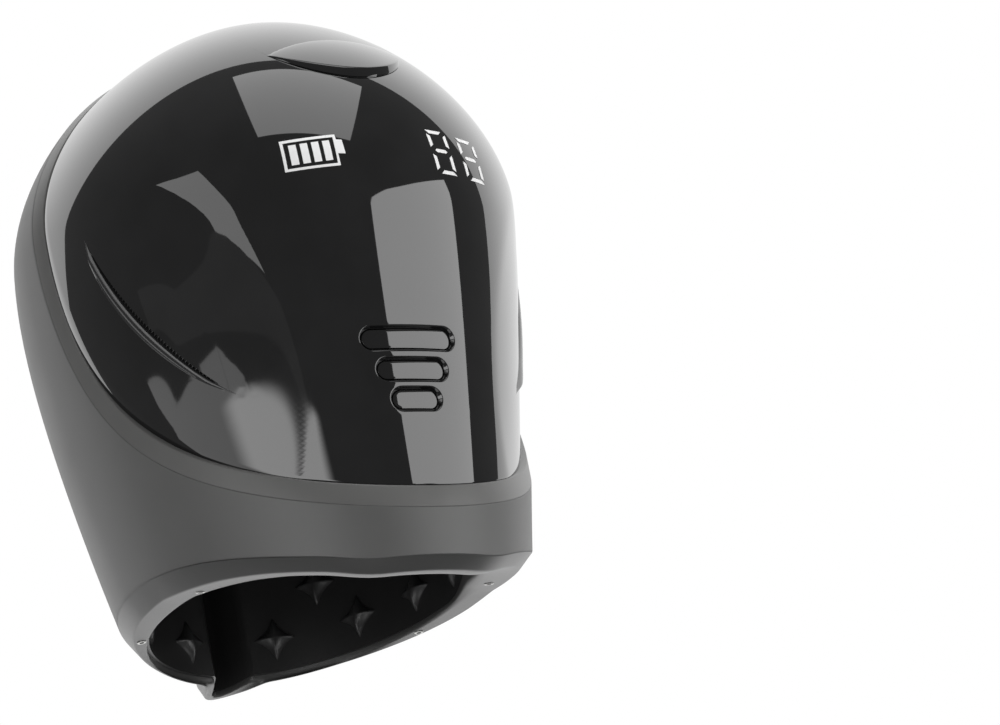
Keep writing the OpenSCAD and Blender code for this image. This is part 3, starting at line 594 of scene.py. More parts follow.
# %% Temple dish
DISH_DEPTH, DISH_RUN = 4, 25
CREASE_X, CREASE_BOW, CREASE_Z, CREASE_SLANT, CREASE_SOFT = 54.5, 0.0025, 95, 1.15, 3
DISH_TOP, DISH_TOP_FADE, DISH_SIDE, DISH_SIDE_FADE = 205, 45, 104, 30


PROBE = 0.5


def dished(points):
    """Moves points of the visor inwards where the temple is dished."""
    p = np.array(points, float)
    x, y, z = np.abs(p[:, 0]), p[:, 1], p[:, 2]
    past = (x - CREASE_X - CREASE_BOW * (z - CREASE_Z) ** 2) * CREASE_SLANT
    past = (past + np.sqrt(past * past + CREASE_SOFT ** 2)) / 2
    depth = DISH_DEPTH * (1 - np.exp(-past / DISH_RUN))
    depth *= 1 - smooth((z - DISH_TOP) / DISH_TOP_FADE)
    depth *= 1 - smooth((x - DISH_SIDE) / DISH_SIDE_FADE)
    slope_y = half_width(HOOD, y + PROBE, z, VISOR_INSET) - half_width(HOOD, y - PROBE, z, VISOR_INSET)
    slope_z = half_width(HOOD, y, z + PROBE, VISOR_INSET) - half_width(HOOD, y, z - PROBE, VISOR_INSET)
    out = np.stack([np.sign(p[:, 0]), -slope_y, -slope_z], 1)
    out /= np.linalg.norm(out, axis=1)[:, None] + 1e-9
    return p - out * depth[:, None]


print("dish depth at the temple:", np.round(118 - dished([(118.0, -60.0, 150.0)])[0, 0], 2), "mm across")

# %% Visor piece
EDGE_ROUND, EDGE_SOFT = 0.7, 0.2
PILL_MARGIN, GILL_MARGIN, FACE_BACK_Y = 2, 3, -60
GILL_WALL = (0, 1, 2, VISOR_WALL)
outer = visor_grid(-EDGE_ROUND, VISOR_INSET, ((-EDGE_SOFT, VISOR_INSET + EDGE_SOFT),
                                              (0, VISOR_INSET + EDGE_ROUND),
                                              (0, VISOR_INSET + VISOR_WALL)))
inner = visor_grid(0, VISOR_INSET + VISOR_WALL)
shell = Shell()
for grid, depth, edge in ((outer, 0, RECESS[0][0]), (inner, VISOR_WALL, RECESS[-1][0])):
    cut = np.zeros((grid.shape[0] - 1, grid.shape[1] - 1), bool)
    x, y, z = np.moveaxis(grid, -1, 0)
    round_pills = (np.abs(x) < pill_half + PILL_MARGIN) & (y < FACE_BACK_Y)
    round_pills &= (z > pill_low - PILL_MARGIN) & (z < pill_high + PILL_MARGIN)
    pills = [pill(*size, edge) for size in PILLS.values()]
    shell.add(*open_window(grid, cut, round_pills, [0, 2],
                           lambda p: on_front(p, VISOR_INSET + depth), pills))
    to_gill = np.hypot(y[..., None] - gill_hole[:, 0], z[..., None] - gill_hole[:, 1]).min(axis=-1)
    for side in (-1, 1):
        shell.add(*open_window(grid, cut, (to_gill < GILL_MARGIN) & (x * side > 0), [1, 2],
                               lambda p: on_side(p, VISOR_INSET + depth, side), [gill_hole]))
    shell.add_grid(grid, cut)
for size in PILLS.values():
    shell.add_grid(np.array([on_front(pill(*size, edge), VISOR_INSET + depth) for edge, depth in RECESS]),
                   close_cols=True)
for side in (-1, 1):
    shell.add_grid(np.array([on_side(gill_hole, VISOR_INSET + depth, side) for depth in GILL_WALL]),
                   close_cols=True)
visor = mesh_object("visor", dished(shell.all_points()), shell.faces)
hand_over(visor, "hood", "visor_shell", visor_gloss, "visor_shell")

# %% [markdown]
# ## Buttons
# The buttons have the same polish as the visor and lie a little below it. Each is a closed body made
# from rings of one pill outline: the rings shrink to the middle line on the face and run straight
# down at the side, so the face keeps the curve of the visor.

# %% Button pieces
BUTTON_FACE, BUTTON_DEEP, BUTTON_CLEAR = 2.3, 6.5, 2.0
BUTTON_SOFT, BUTTON_BEVEL, NEARLY = 0.35, 0.1, 0.004
for name, (width, height, z) in PILLS.items():
    middle = height / 2 - NEARLY
    section = [(middle, BUTTON_DEEP), (BUTTON_CLEAR, BUTTON_DEEP),
               (BUTTON_CLEAR, BUTTON_FACE + BUTTON_SOFT),
               (BUTTON_CLEAR + BUTTON_BEVEL, BUTTON_FACE + BUTTON_BEVEL)]
    section += [(inset, BUTTON_FACE) for inset in np.linspace(BUTTON_CLEAR + BUTTON_SOFT, middle, 5)]
    rings = [on_front(pill(width, height, z, inset), VISOR_INSET + deep) for inset, deep in section]
    body = Shell()
    body.add_grid(np.array(rings), close_cols=True)
    button = mesh_object(name, body.all_points(), body.faces)
    hand_over(button, name, "button_gloss", button_gloss, name)

# %% [markdown]
# ## Gills
# Each gill is one moulded crescent: a rounded blade that stands a little proud, and above it a slot
# that runs in to a sunk floor. A cross-section is carried along the crescent, and the slot fades out
# before both tips. Small ribs cross the slot; as they all repeat, Geometry Nodes sets them out.

# %% Gill pieces
# Sag and depth of each line: the back edge, the proud blade, the slot and the front edge.
GILL_SECTION = ((13.5, 4.6), (13.5, 1.0), (13.35, 0.4), (12.9, -0.6), (12.2, -1.2), (11.3, -1.35),
                (10.3, -1.1), (9.4, -0.4), (8.8, 0.7), (8.6, 2.2), (8.4, 3.0), (6.5, 3.2),
                (6.15, 2.9), (6.1, 3.4), (6.1, 4.6))
SLOT_STARTS, SLOT_ENDS, SLOT_FADE, PROUD_FADE = 0.09, 0.93, 0.05, 0.12
SLOT_SAG, GILL_BACK, GILL_SKIN = 9, 4, 0.3
GILL_TIP, GILL_COLS = 0.004, 120


def gill_places(side, t):
    """Rows of points across the gill at the shares t of its length."""
    slot = smooth((t - SLOT_STARTS) / SLOT_FADE) * smooth((SLOT_ENDS - t) / SLOT_FADE)
    proud = smooth(t / PROUD_FADE) * smooth((1 - t) / PROUD_FADE)
    rows = []
    for sag, inset in GILL_SECTION:
        line = gill_line(sag, t)
        if inset < VISOR_INSET:
            depth = VISOR_INSET + (inset - VISOR_INSET) * proud
        elif sag < SLOT_SAG and inset < GILL_BACK:
            depth = VISOR_INSET + GILL_SKIN + (inset - VISOR_INSET - GILL_SKIN) * slot
        else:
            depth = inset + 0 * t
        rows.append(on_side(line, depth, side))
    return np.array(rows)


def gill(side, name):
    """One closed crescent, with a flat face at each tip."""
    rows = gill_places(side, np.linspace(GILL_TIP, 1 - GILL_TIP, GILL_COLS)).transpose(1, 0, 2)
    body = Shell()
    body.add_grid(rows, close_cols=True)
    count = rows.shape[1]
    body.add(rows[0], [tuple(range(count))])
    body.add(rows[-1], [tuple(range(count))[::-1]])
    piece = mesh_object(name, dished(body.all_points()), body.faces)
    return hand_over(piece, "hood", "gill", gill_gloss, name)


for side, name in ((1, "gill_left"), (-1, "gill_right")):
    gill(side, name)

# %% [markdown]
# ## Cap on the crown
# A shallow cap closes the crown of the visor above the fan. Seen from above it is a plain disc, and
# its top is a little flatter than the crown, so it stands proud at the front and sinks into the visor
# behind. The height of the form under each point of the disc is found by halving an interval.

# %% Crown cap
CAP_Y, CAP_RADIUS, CAP_RISE = -97, 44, 3.6
CAP_BACK, CAP_RUN, CAP_SLANT, CAP_LIMIT, CAP_ROUND, CAP_SUNK = -110, 31, 0.15, 1.1, 0.7, 0.25
CROWN_LOW, HALVINGS = 236.0, 40
CAP_SECTION = ((0.5, 0.0), (0.5, 0.15), (0, 0.2), (0, 0.93), (0.08, 0.98), (0.25, 1.0))


def cap_rise(x, y):
    """The cap rises from the crown towards the face; behind its back line it is flush."""
    share = (CAP_BACK + CAP_SLANT * x - y) / CAP_RUN
    return CAP_RISE * np.clip(share, 0, CAP_LIMIT) ** CAP_ROUND - CAP_SUNK * (share < 0)


def crown_z(x, y, inset):
    """Height of the form over x and y."""
    low, high = np.full(np.shape(x), CROWN_LOW), np.full(np.shape(x), HOOD["top"] - inset - 1e-6)
    for _ in range(HALVINGS):
        z = (low + high) / 2
        front, back = level(HOOD, z, inset)[1:3]
        within = (np.abs(x) < half_width(HOOD, y, z, inset)) & (y > front) & (y < back)
        low, high = np.where(within, z, low), np.where(within, high, z)
    return low


def on_crown(radius, turn, share, sunk=0.0):
    """A ring of the cap, at a share of its rise and sunk into the visor."""
    x, y = radius * np.sin(turn), CAP_Y - radius * np.cos(turn)
    return np.stack([x, y, crown_z(x, y, VISOR_INSET + sunk - share * cap_rise(x, y))], -1)


CAP_STEPS, CAP_RINGS, CAP_UNDER_RINGS, CAP_MIDDLE, CAP_UNDER = 180, 40, 12, 0.002, 0.8
cap_turn = np.linspace(0, 2 * np.pi, CAP_STEPS, endpoint=False)
cap_rings = [on_crown(CAP_RADIUS - cut_back, cap_turn, share) for cut_back, share in CAP_SECTION]
cap_rings += [on_crown(radius, cap_turn, 1)
              for radius in np.linspace(CAP_RADIUS - 1, CAP_MIDDLE, CAP_RINGS)]
cap_rings += [on_crown(radius, cap_turn, 0, CAP_UNDER)
              for radius in np.linspace(CAP_MIDDLE, CAP_RADIUS - 2, CAP_UNDER_RINGS)]
cap_body = Shell()
cap_body.add_grid(np.array(cap_rings), close_rows=True, close_cols=True)
cap = mesh_object("crown_cap", cap_body.all_points(), cap_body.faces)
hand_over(cap, "hood", "button_gloss", button_gloss, "crown_cap")

# %% [markdown]
# ## Lit symbols
# The display's light shows through the visor as a battery sign and two digits. That light is painted
# here as a plain white colour on thin plates, which don't glow. Painting them with an image would need
# a file, so each stroke is a flat outline that is filled with triangles, laid on the curved face and
# given a small thickness.

# %% Symbol helper
SYMBOL_THICK, SYMBOL_SUNK, SYMBOL_STEP = 0.16, 0.05, 2.5


def dense(corners, step=2.0):
    """Adds points along the sides of a flat outline so that it can follow a curved face."""
    corners = np.asarray(corners, float)
    out = []
    for a, b in zip(corners, np.roll(corners, -1, 0)):
        count = max(1, int(round(np.linalg.norm(b - a) / step)))
        out += [a + (b - a) * i / count for i in range(count)]
    return np.array(out)


def add_sign(shell, outline, holes=()):
    """Adds a flat outline to the shell as a thin plate that lies on the face."""
    outline, holes = dense(outline), [dense(h) for h in holes]
    flat, faces = filled(outline, holes, SYMBOL_STEP)
    depths = (VISOR_INSET - SYMBOL_THICK, VISOR_INSET + SYMBOL_SUNK)
    for depth in depths:
        shell.add(on_front(flat, depth), faces)
    for loop in (outline, *holes):
        shell.add_grid(np.array([on_front(loop, depth) for depth in depths]), close_cols=True)


print("a sign stands", SYMBOL_THICK, "mm over the visor")

# %% Battery sign
BATTERY = ((-53.6, 224.0), (-53.7, 242.3), (-25.5, 244.3), (-25.4, 241.2),
           (-22.4, 240.9), (-22.0, 232.6), (-25.9, 232.8), (-25.7, 225.7))
BATTERY_HOLE = ((-52.2, 225.5), (-52.3, 240.8), (-26.9, 242.7), (-27.0, 227.1))
BARS, BAR_LEFT, BAR_FOOT, BAR_W, BAR_HIGH = 4, -49.9, 227.5, 3.7, 11.8
BAR_PITCH, BAR_RISE, BAR_SLOPE, BAR_LEAN = 5.7, 0.42, 0.3, 0.05
battery = Shell()
add_sign(battery, BATTERY, [BATTERY_HOLE])
for i in range(BARS):
    left, foot = BAR_LEFT + i * BAR_PITCH, BAR_FOOT + i * BAR_RISE
    right = left + BAR_W
    add_sign(battery, [(left, foot), (left - BAR_LEAN, foot + BAR_HIGH),
                       (right - BAR_LEAN, foot + BAR_HIGH + BAR_SLOPE), (right, foot + BAR_SLOPE)])
battery_sign = mesh_object("battery_sign", battery.all_points(), battery.faces)
hand_over(battery_sign, "hood", "display_modules", painted_display_light, "display_modules")

# %% Digits
STROKE, BREAK, LEAN, WAIST_UP = 2.1, 0.45, 0.07, 0.6
# Left, right, low and high side of each digit.
DIGITS = ((29.2, 44.3, 223.8, 250.4), (50.4, 66.4, 223.4, 249.1))


def digit(shell, left, right, low, high):
    """A figure eight made of seven strokes with slanting ends."""
    s, g = STROKE, BREAK
    right -= LEAN * (high - low)
    middle = (low + high) / 2 + WAIST_UP
    near, far = left + s + g, right - s - g

    def stroke(*corners):
        add_sign(shell, [(x + LEAN * (high - z), z) for x, z in corners])

    stroke((left, high), (far, high), (far - s, high - s), (left + s, high - s))
    stroke((near, low), (right, low), (right - s, low + s), (near + s, low + s))
    stroke((near, middle), (near + s / 2, middle + s / 2), (far - s / 2, middle + s / 2),
           (far, middle), (far - s / 2, middle - s / 2), (near + s / 2, middle - s / 2))
    for foot_z, top_z in ((low, middle), (middle, high)):
        a, b = foot_z + g, top_z - g
        stroke((left, a + 0.6 * s), (left, b - s), (left + s, b - 1.6 * s), (left + s, a + 1.4 * s))
        stroke((right, a + s), (right, b - 0.6 * s), (right - s, b - 1.4 * s), (right - s, a + 1.6 * s))


digits = Shell()
for size in DIGITS:
    digit(digits, *size)
digit_sign = mesh_object("digit_sign", digits.all_points(), digits.faces)
hand_over(digit_sign, "hood", "display_modules", painted_display_light)

# %% [markdown]
# ## Seam trim
# The trim is a moulded strip with a sloping face that climbs from the visor up to the casing. It is a
# closed band: a small cross-section carried round the seam, with its corners softened.

# %% Seam trim piece
CASING_OUT = 1.7
# Distance from the seam and depth of each line round the strip.
trim_section = ((GAP, 4.5), (GAP, 1.2), (GAP + 0.2, 0.75), (GAP + 0.7, 0.5), (TRIM_W - 0.5, -1.5),
                (TRIM_W - 0.1, -1.6), (TRIM_W, -1.5), (TRIM_W, -0.8), (TRIM_W, 4.5))
trim = lofted("seam_trim", [both_sides(seam_curve(o, d, HALF), HOOD, d) for o, d in trim_section])
hand_over(trim, "hood", "seam_trim", trim_satin, "seam_trim")

# %% [markdown]
# ## Casing
# The casing covers the back, the sides and the band under the visor. It is a ring in the sense of
# topology: one edge follows the trim and the other the lower lip. A Coons patch fills the space
# between four known edges, so the grid again ends exactly on both.

# %% Casing grid
CASING_INNER, EDGE_CLEAR, EDGE_TRIES = 1.3, 0.4, 30
FRONT, REAR = 1, 2


def edge_loop(inset, clear):
    """The casing's lower edge from the keel to the chin, in the side view, clear of the lip ring."""
    turn = np.linspace(180, 0, 1500)
    z = np.full_like(turn, 20.0)
    for _ in range(EDGE_TRIES):
        y = around(HOOD, z, turn, inset)[:, 1]
        z = rim_z(y) + (lip(y) + GAP + clear)
    p = around(HOOD, z, turn, inset)
    base = p[:, 1] - keel_shift(HOOD, p[:, 0], p[:, 1], z, inset)
    return spaced(np.stack([base, z], 1), slow_ends(HALF))


def outline_run(start, end, inset, which, rows):
    """Even points down the front or the rear outline, from the seam to the lower edge."""
    z = np.linspace(start[1], end[1], 400)
    y = level(HOOD, z, inset)[which]
    p = np.stack([y, z], 1)
    p[0], p[-1] = start, end
    return spaced(p, np.linspace(0, 1, rows))


def casing_rows(off, inset, clear, rows):
    """Loops round the casing from the trim down to the lower edge."""
    upper = seam_curve(off, inset, HALF)
    lower = edge_loop(inset, clear)
    back = outline_run(upper[0], lower[0], inset, REAR, rows)
    front = outline_run(upper[-1], lower[-1], inset, FRONT, rows)
    u = slow_ends(HALF)[None, :, None]
    v = np.linspace(0, 1, rows)[:, None, None]
    corners = ((1 - u) * (1 - v) * upper[0] + u * (1 - v) * upper[-1]
               + (1 - u) * v * lower[0] + u * v * lower[-1])
    patch = ((1 - v) * upper + v * lower + (1 - u) * back[:, None] + u * front[:, None] - corners)
    return [both_sides(row, HOOD, inset) for row in patch]


def seam_loop(off, inset):
    """A loop round the casing's upper edge."""
    return both_sides(seam_curve(off, inset, HALF), HOOD, inset)


def foot_loop(inset, clear):
    """A loop round the casing's lower edge."""
    return both_sides(edge_loop(inset, clear), HOOD, inset)


# From inside over the rounded upper edge, down the outside, round the lower edge and up inside again.
OUTSIDE_ROWS, INSIDE_ROWS = 90, 30
bands = [seam_loop(TRIM_W + GAP, CASING_INNER), seam_loop(TRIM_W + GAP, 0.3 - CASING_OUT),
         seam_loop(TRIM_W + GAP + 0.1, 0.1 - CASING_OUT)]
bands += casing_rows(TRIM_W + GAP + 0.3, -CASING_OUT, EDGE_CLEAR, OUTSIDE_ROWS)
bands += [foot_loop(0.2 - CASING_OUT, 0.1), foot_loop(0.4 - CASING_OUT, 0)]
bands += casing_rows(TRIM_W + GAP, CASING_INNER, 0, INSIDE_ROWS)[::-1][:-1]
casing = lofted("rear_casing", bands)
hand_over(casing, "hood", "rear_casing", casing_matte, "rear_casing")

# %% [markdown]
# ## Lip ring
# The ring closes the gap between casing and liner. Seen from below it has a sloping outer face, a
# narrow flat that the hood stands on, and a soft roll into the opening. Its cross-section changes
# along the way, so each corner is worked out for every angle and then rounded.

# %% Lip ring piece
RING_COLS, RING_CROWD, ROUND_STEPS, MOST_OF_SIDE = 240, 32, 5, 0.45
BEVEL, BEVEL_LESS_BEHIND, FLAT_BEHIND, FLAT_AHEAD = 8, 3, 1.5, 8
OPENING_WIDER, INNER_HIGH, INNER_HIGHER, SHELF_GAP, LEDGE_HIGH = 4, 3.5, 8, 0.3, 5
# Where a change along the ring starts, and over how many millimetres it comes in.
AHEAD_FROM, AHEAD_RUN, BEHIND_FROM, BEHIND_RUN = -50, 100, 60, 90
CORNER_FROM, CORNER_RUN, CORNER_SIDE, CORNER_SIDE_RUN = -10, 60, 30, 50


def round_corners(corners, sizes):
    """Rounds the corners of closed sections: corners is (corner, column, xyz)."""
    out = []
    count = len(corners)
    for i, size in enumerate(sizes):
        here, before, after = corners[i], corners[i - 1], corners[(i + 1) % count]
        to_before, to_after = before - here, after - here
        long_before = np.linalg.norm(to_before, axis=1)[:, None]
        long_after = np.linalg.norm(to_after, axis=1)[:, None]
        size = np.asarray(size) * np.ones(len(here))
        start = here + to_before / long_before * np.minimum(size[:, None], MOST_OF_SIDE * long_before)
        end = here + to_after / long_after * np.minimum(size[:, None], MOST_OF_SIDE * long_after)
        for s in np.linspace(0, 1, ROUND_STEPS):
            out.append((1 - s) ** 2 * start + 2 * s * (1 - s) * here + s * s * end)
    return out


def crowded(count, crowd):
    """Angles round the hood that lie closer together at the keel."""
    u = np.linspace(0, 1, count, endpoint=False)
    return 360 * u + crowd * np.sin(2 * np.pi * u)


turn = crowded(RING_COLS, RING_CROWD)
edge_y = around(HOOD, RIM_RISE + 0 * turn, turn, -CASING_OUT)[:, 1]
share = smooth((AHEAD_FROM - edge_y) / AHEAD_RUN)
top = rim_z(edge_y) + lip(edge_y)
bevel = BEVEL - CASING_OUT - BEVEL_LESS_BEHIND * smooth((edge_y - BEHIND_FROM) / BEHIND_RUN)
outer_edge = around(HOOD, top, turn, -CASING_OUT)
foot = around(HOOD, top, turn, bevel)
flat = around(HOOD, top, turn, bevel + FLAT_BEHIND + FLAT_AHEAD * share)
foot[:, 2] = rim_z(edge_y) + 0.1
flat[:, 2] = foot[:, 2] - (flat[:, 1] - foot[:, 1]) * math.tan(TILT)
corner = smooth((CORNER_FROM - edge_y) / CORNER_RUN)
corner *= smooth((np.abs(outer_edge[:, 0]) - CORNER_SIDE) / CORNER_SIDE_RUN)
opening = around(LINER, RIM_RISE + 0 * turn, turn, OPENING_WIDER * corner)
opening[:, 2] = rim_z(opening[:, 1])
inner_top = opening.copy()
inner_top[:, 2] = opening[:, 2] + INNER_HIGH + INNER_HIGHER * corner
shelf = around(HOOD, top, turn, CASING_INNER + SHELF_GAP)
ledge = around(HOOD, top + LEDGE_HIGH, turn, CASING_INNER + SHELF_GAP)
corners = [ledge, shelf, outer_edge, foot, flat, opening, inner_top]
# One rounding for each corner of the section, in the same order.
roundings = (0.3, 0.3, 0.4, 1.2, 3 + 3 * share, 2.5 + 4 * share + 8 * corner, 0.5)
ring = lofted("rim_ring", round_corners(corners, roundings), 50)
hand_over(ring, "hood", "rim_ring", ring_satin, "rim_ring")

# %% [markdown]
# ## Head liner
# The liner is a thin black dome inside the hood, with a groove where the keel is. Rows of points rise
# from the ring to the crown. The shell gets its wall from a second dome, 2 mm outside the first.

# %% Head liner piece
LINER_ROWS, LINER_COLS, LINER_CROWD, LINER_FOOT, LINER_WALL = 60, 160, 26, 3.6, 2


def liner_grid(inset):
    """Rows from the ring up to the crown."""
    turn = crowded(LINER_COLS, LINER_CROWD)
    foot = around(LINER, RIM_RISE + 0 * turn, turn, inset)
    low = rim_z(foot[:, 1]) + LINER_FOOT
    rise = np.sin(np.pi / 2 * np.linspace(0, 1, LINER_ROWS))[:, None]
    z = low + (LINER["top"] - inset - low) * rise
    return around(LINER, z, turn + 0 * z, inset)


grid = np.concatenate([liner_grid(0)[::-1], liner_grid(-LINER_WALL)])
liner = mesh_object("head_liner", grid.reshape(-1, 3), strip_faces(*grid.shape[:2], False, True))
hand_over(liner, "hood", "head_liner", liner_black, "head_liner")

# %% [markdown]
# ## Star bosses
# Soft four-pointed bosses keep the head off the liner, so that warm air can pass. All of them are the
# same star, so one star is modelled and Geometry Nodes sets it on a cloud of points. Every point
# carries the direction that its star faces, which makes the pattern easy to change.

# %% One star
STAR_REACH, STAR_HIGH, STAR_SUNK, STAR_HOLLOW, STAR_BLUNT = 16, 4.6, 1.6, 0.6, 0.82
STAR_ROWS, STAR_COUNT, STAR_FIRST, STAR_PITCH = 7, 13, 23, 28
STAR_SHARES = (1, 0.985, 0.95, 0.88, 0.78, 0.64, 0.48, 0.3, 0.12, 0.001)
STAR_ROUND, STAR_TRIES, GROOVE_HALF, TURN_STEPS = 0.7, 12, 13, 48


def turned(name, rings, weld, sharp=None):
    """A body from rings of points in millimetres, ready to be set out."""
    grid = np.array(rings) * MM
    mesh = bpy.data.meshes.new(name)
    mesh.from_pydata(grid.reshape(-1, 3).tolist(), [], strip_faces(*grid.shape[:2], False, True))
    work = bmesh.new()
    work.from_mesh(mesh)
    bmesh.ops.remove_doubles(work, verts=work.verts, dist=weld)
    bmesh.ops.recalc_face_normals(work, faces=work.faces)
    work.to_mesh(mesh)
    work.free()
    mesh.shade_smooth()
    if sharp:
        mesh.set_sharp_from_angle(angle=math.radians(sharp))
    return bpy.data.objects.new(name, mesh)


def star_mesh():
    """One star: a blunt, hollow-sided outline that shrinks as it rises, with a sunk foot."""
    turn = np.linspace(0, 2 * np.pi, TURN_STEPS, endpoint=False)
    hollow = np.abs(np.cos(turn)) ** STAR_HOLLOW + np.abs(np.sin(turn)) ** STAR_HOLLOW
    reach_out = STAR_REACH * np.minimum(STAR_BLUNT, hollow ** (-1 / STAR_HOLLOW))
    rings = []
    for share in STAR_SHARES:
        high = STAR_HIGH * (1 - share ** 2) ** STAR_ROUND
        rings.append(np.stack([reach_out * share * np.cos(turn), reach_out * share * np.sin(turn),
                               0 * turn + high], 1))
    rings.insert(0, rings[0] - [0, 0, STAR_SUNK])
    rings.insert(0, rings[0] * [0.001, 0.001, 1])
    return turned("one_star", rings, 0.00003)


print("a star reaches", round(STAR_REACH * STAR_BLUNT, 1), "mm from its middle")

# %% Star places
def liner_frame(z, turn):
    """Point on the liner and its directions inward and up."""
    def point(higher, further):
        return around(LINER, np.array(z + higher), np.array(turn + further), 0)

    here = point(0.0, 0.0)
    across = point(0.0, 1.0) - point(0.0, -1.0)
    up = point(1.0, 0.0) - point(-1.0, 0.0)
    inward = np.cross(across, up)
    inward /= np.linalg.norm(inward)
    if inward[:2] @ here[:2] > 0:
        inward = -inward
    return here, inward, up / np.linalg.norm(up)


def star_row(row):
    """Even directions round the head, staggered from row to row, at an even height over the rim."""
    fine = np.linspace(0, 360, 1441)
    z = np.full_like(fine, 30.0)
    for _ in range(STAR_TRIES):
        z = rim_z(around(LINER, z, fine, 0)[:, 1]) + STAR_FIRST + STAR_PITCH * row
    p = around(LINER, z, fine, 0)
    polar = np.degrees(np.unwrap(np.arctan2(p[:, 0], -p[:, 1])))
    want = (np.arange(STAR_COUNT) + 0.5 * ((row + 1) % 2)) * 360 / STAR_COUNT + 180
    return [(np.interp(v % 360, polar, z), np.interp(v % 360, polar, fine)) for v in want]


star_places = []
for row in range(STAR_ROWS):
    for z, turn_deg in star_row(row):
        here, inward, up = liner_frame(float(z), float(turn_deg))
        if here[1] < 0 or abs(here[0]) > GROOVE_HALF + 0.6 * STAR_REACH:
            star_places.append((here, inward, up))
print("stars:", len(star_places))


# %% Setting out with Geometry Nodes
def point_cloud(name, places):
    """A mesh of loose points that carry the directions called facing and upward."""
    mesh = bpy.data.meshes.new(name)
    mesh.from_pydata(stand([p for p, _, _ in places]).tolist(), [], [])
    turn = np.array(STAND.to_3x3())
    for label, index in (("facing", 1), ("upward", 2)):
        data = mesh.attributes.new(label, "FLOAT_VECTOR", "POINT")
        data.data.foreach_set("vector", np.concatenate([turn @ p[index] for p in places]).ravel())
    piece = bpy.data.objects.new(name, mesh)
    SCENE.collection.objects.link(piece)
    return piece


def setting_out():
    """A node tree that puts one body on every point, facing the way the point says."""
    tree = bpy.data.node_groups.new("set out", "GeometryNodeTree")
    face = tree.interface
    face.new_socket("Points", in_out="INPUT", socket_type="NodeSocketGeometry")
    face.new_socket("Body", in_out="INPUT", socket_type="NodeSocketObject")
    face.new_socket("Finish", in_out="INPUT", socket_type="NodeSocketMaterial")
    face.new_socket("Size", in_out="INPUT", socket_type="NodeSocketFloat")
    face.new_socket("Twist", in_out="INPUT", socket_type="NodeSocketFloat")
    face.new_socket("Seed", in_out="INPUT", socket_type="NodeSocketInt")
    face.new_socket("Geometry", in_out="OUTPUT", socket_type="NodeSocketGeometry")
    nodes, links = tree.nodes, tree.links
    given, out = nodes.new("NodeGroupInput"), nodes.new("NodeGroupOutput")
    body = nodes.new("GeometryNodeObjectInfo")
    body.transform_space = "ORIGINAL"
    body.inputs["As Instance"].default_value = True
    facing = nodes.new("GeometryNodeInputNamedAttribute")
    upward = nodes.new("GeometryNodeInputNamedAttribute")
    for node, label in ((facing, "facing"), (upward, "upward")):
        node.data_type = "FLOAT_VECTOR"
        node.inputs["Name"].default_value = label
    axes = nodes.new("FunctionNodeAxesToRotation")
    axes.primary_axis, axes.secondary_axis = "Z", "Y"
    vary = nodes.new("FunctionNodeRandomValue")
    low_turn = nodes.new("ShaderNodeMath")
    low_turn.operation = "MULTIPLY"
    low_turn.inputs[1].default_value = -1
    spin = nodes.new("ShaderNodeCombineXYZ")
    spin_turn = nodes.new("FunctionNodeEulerToRotation")
    twisted = nodes.new("FunctionNodeRotateRotation")
    twisted.rotation_space = "LOCAL"
    setter = nodes.new("GeometryNodeInstanceOnPoints")
    real = nodes.new("GeometryNodeRealizeInstances")
    paint = nodes.new("GeometryNodeSetMaterial")
    links.new(given.outputs["Points"], setter.inputs["Points"])
    links.new(given.outputs["Body"], body.inputs["Object"])
    links.new(body.outputs["Geometry"], setter.inputs["Instance"])
    links.new(facing.outputs["Attribute"], axes.inputs["Primary Axis"])
    links.new(upward.outputs["Attribute"], axes.inputs["Secondary Axis"])
    links.new(given.outputs["Twist"], low_turn.inputs[0])
    links.new(low_turn.outputs[0], vary.inputs[2])
    links.new(given.outputs["Twist"], vary.inputs[3])
    links.new(given.outputs["Seed"], vary.inputs["Seed"])
    links.new(vary.outputs[1], spin.inputs["Z"])
    links.new(spin.outputs["Vector"], spin_turn.inputs["Euler"])
    links.new(axes.outputs["Rotation"], twisted.inputs["Rotation"])
    links.new(spin_turn.outputs["Rotation"], twisted.inputs["Rotate By"])
    links.new(twisted.outputs["Rotation"], setter.inputs["Rotation"])
    links.new(given.outputs["Size"], setter.inputs["Scale"])
    links.new(setter.outputs["Instances"], real.inputs["Geometry"])
    links.new(real.outputs["Geometry"], paint.inputs["Geometry"])
    links.new(given.outputs["Finish"], paint.inputs["Material"])
    links.new(paint.outputs["Geometry"], out.inputs["Geometry"])
    return tree


SET_OUT = setting_out()


def set_out(name, places, one, finish_used, size=1.0, twist=0.0):
    """Sets the body one on all places and returns a plain mesh."""
    cloud = point_cloud(name, places)
    modifier = cloud.modifiers.new("set out", "NODES")
    modifier.node_group = SET_OUT
    inputs = [item for item in SET_OUT.interface.items_tree if item.in_out == "INPUT"]
    sockets = {item.name: item.identifier for item in inputs}
    given = {"Body": one, "Finish": finish_used, "Size": size, "Twist": twist, "Seed": 7}
    for label, value in given.items():
        modifier[sockets[label]] = value
    shown = cloud.evaluated_get(bpy.context.evaluated_depsgraph_get())
    mesh = bpy.data.meshes.new_from_object(shown)
    cloud.modifiers.clear()
    cloud.data = mesh
    return cloud


print("node tree:", len(SET_OUT.nodes), "nodes")

# %% Star piece
stars = set_out("star_bosses", star_places, star_mesh(), star_rubber, twist=0.02)
hand_over(stars, "hood", "star_bosses", star_rubber, "star_bosses")

# %% [markdown]
# ## Ribs in the gills
# A row of small ribs crosses each gill slot and keeps hair out. The same node tree sets them out,
# with a rounded bar as the body.

# %% Gill ribs
RIB_PITCH, RIB_LONG, RIB_THICK, RIB_DEEP, RIB_BEVEL = 2.6, 2.6, 0.8, 1.2, 0.2
RIB_INSET, RIB_LOW, RIB_HIGH, RIB_CLEAR = 1.9, 8.6, 6.4, 0.04


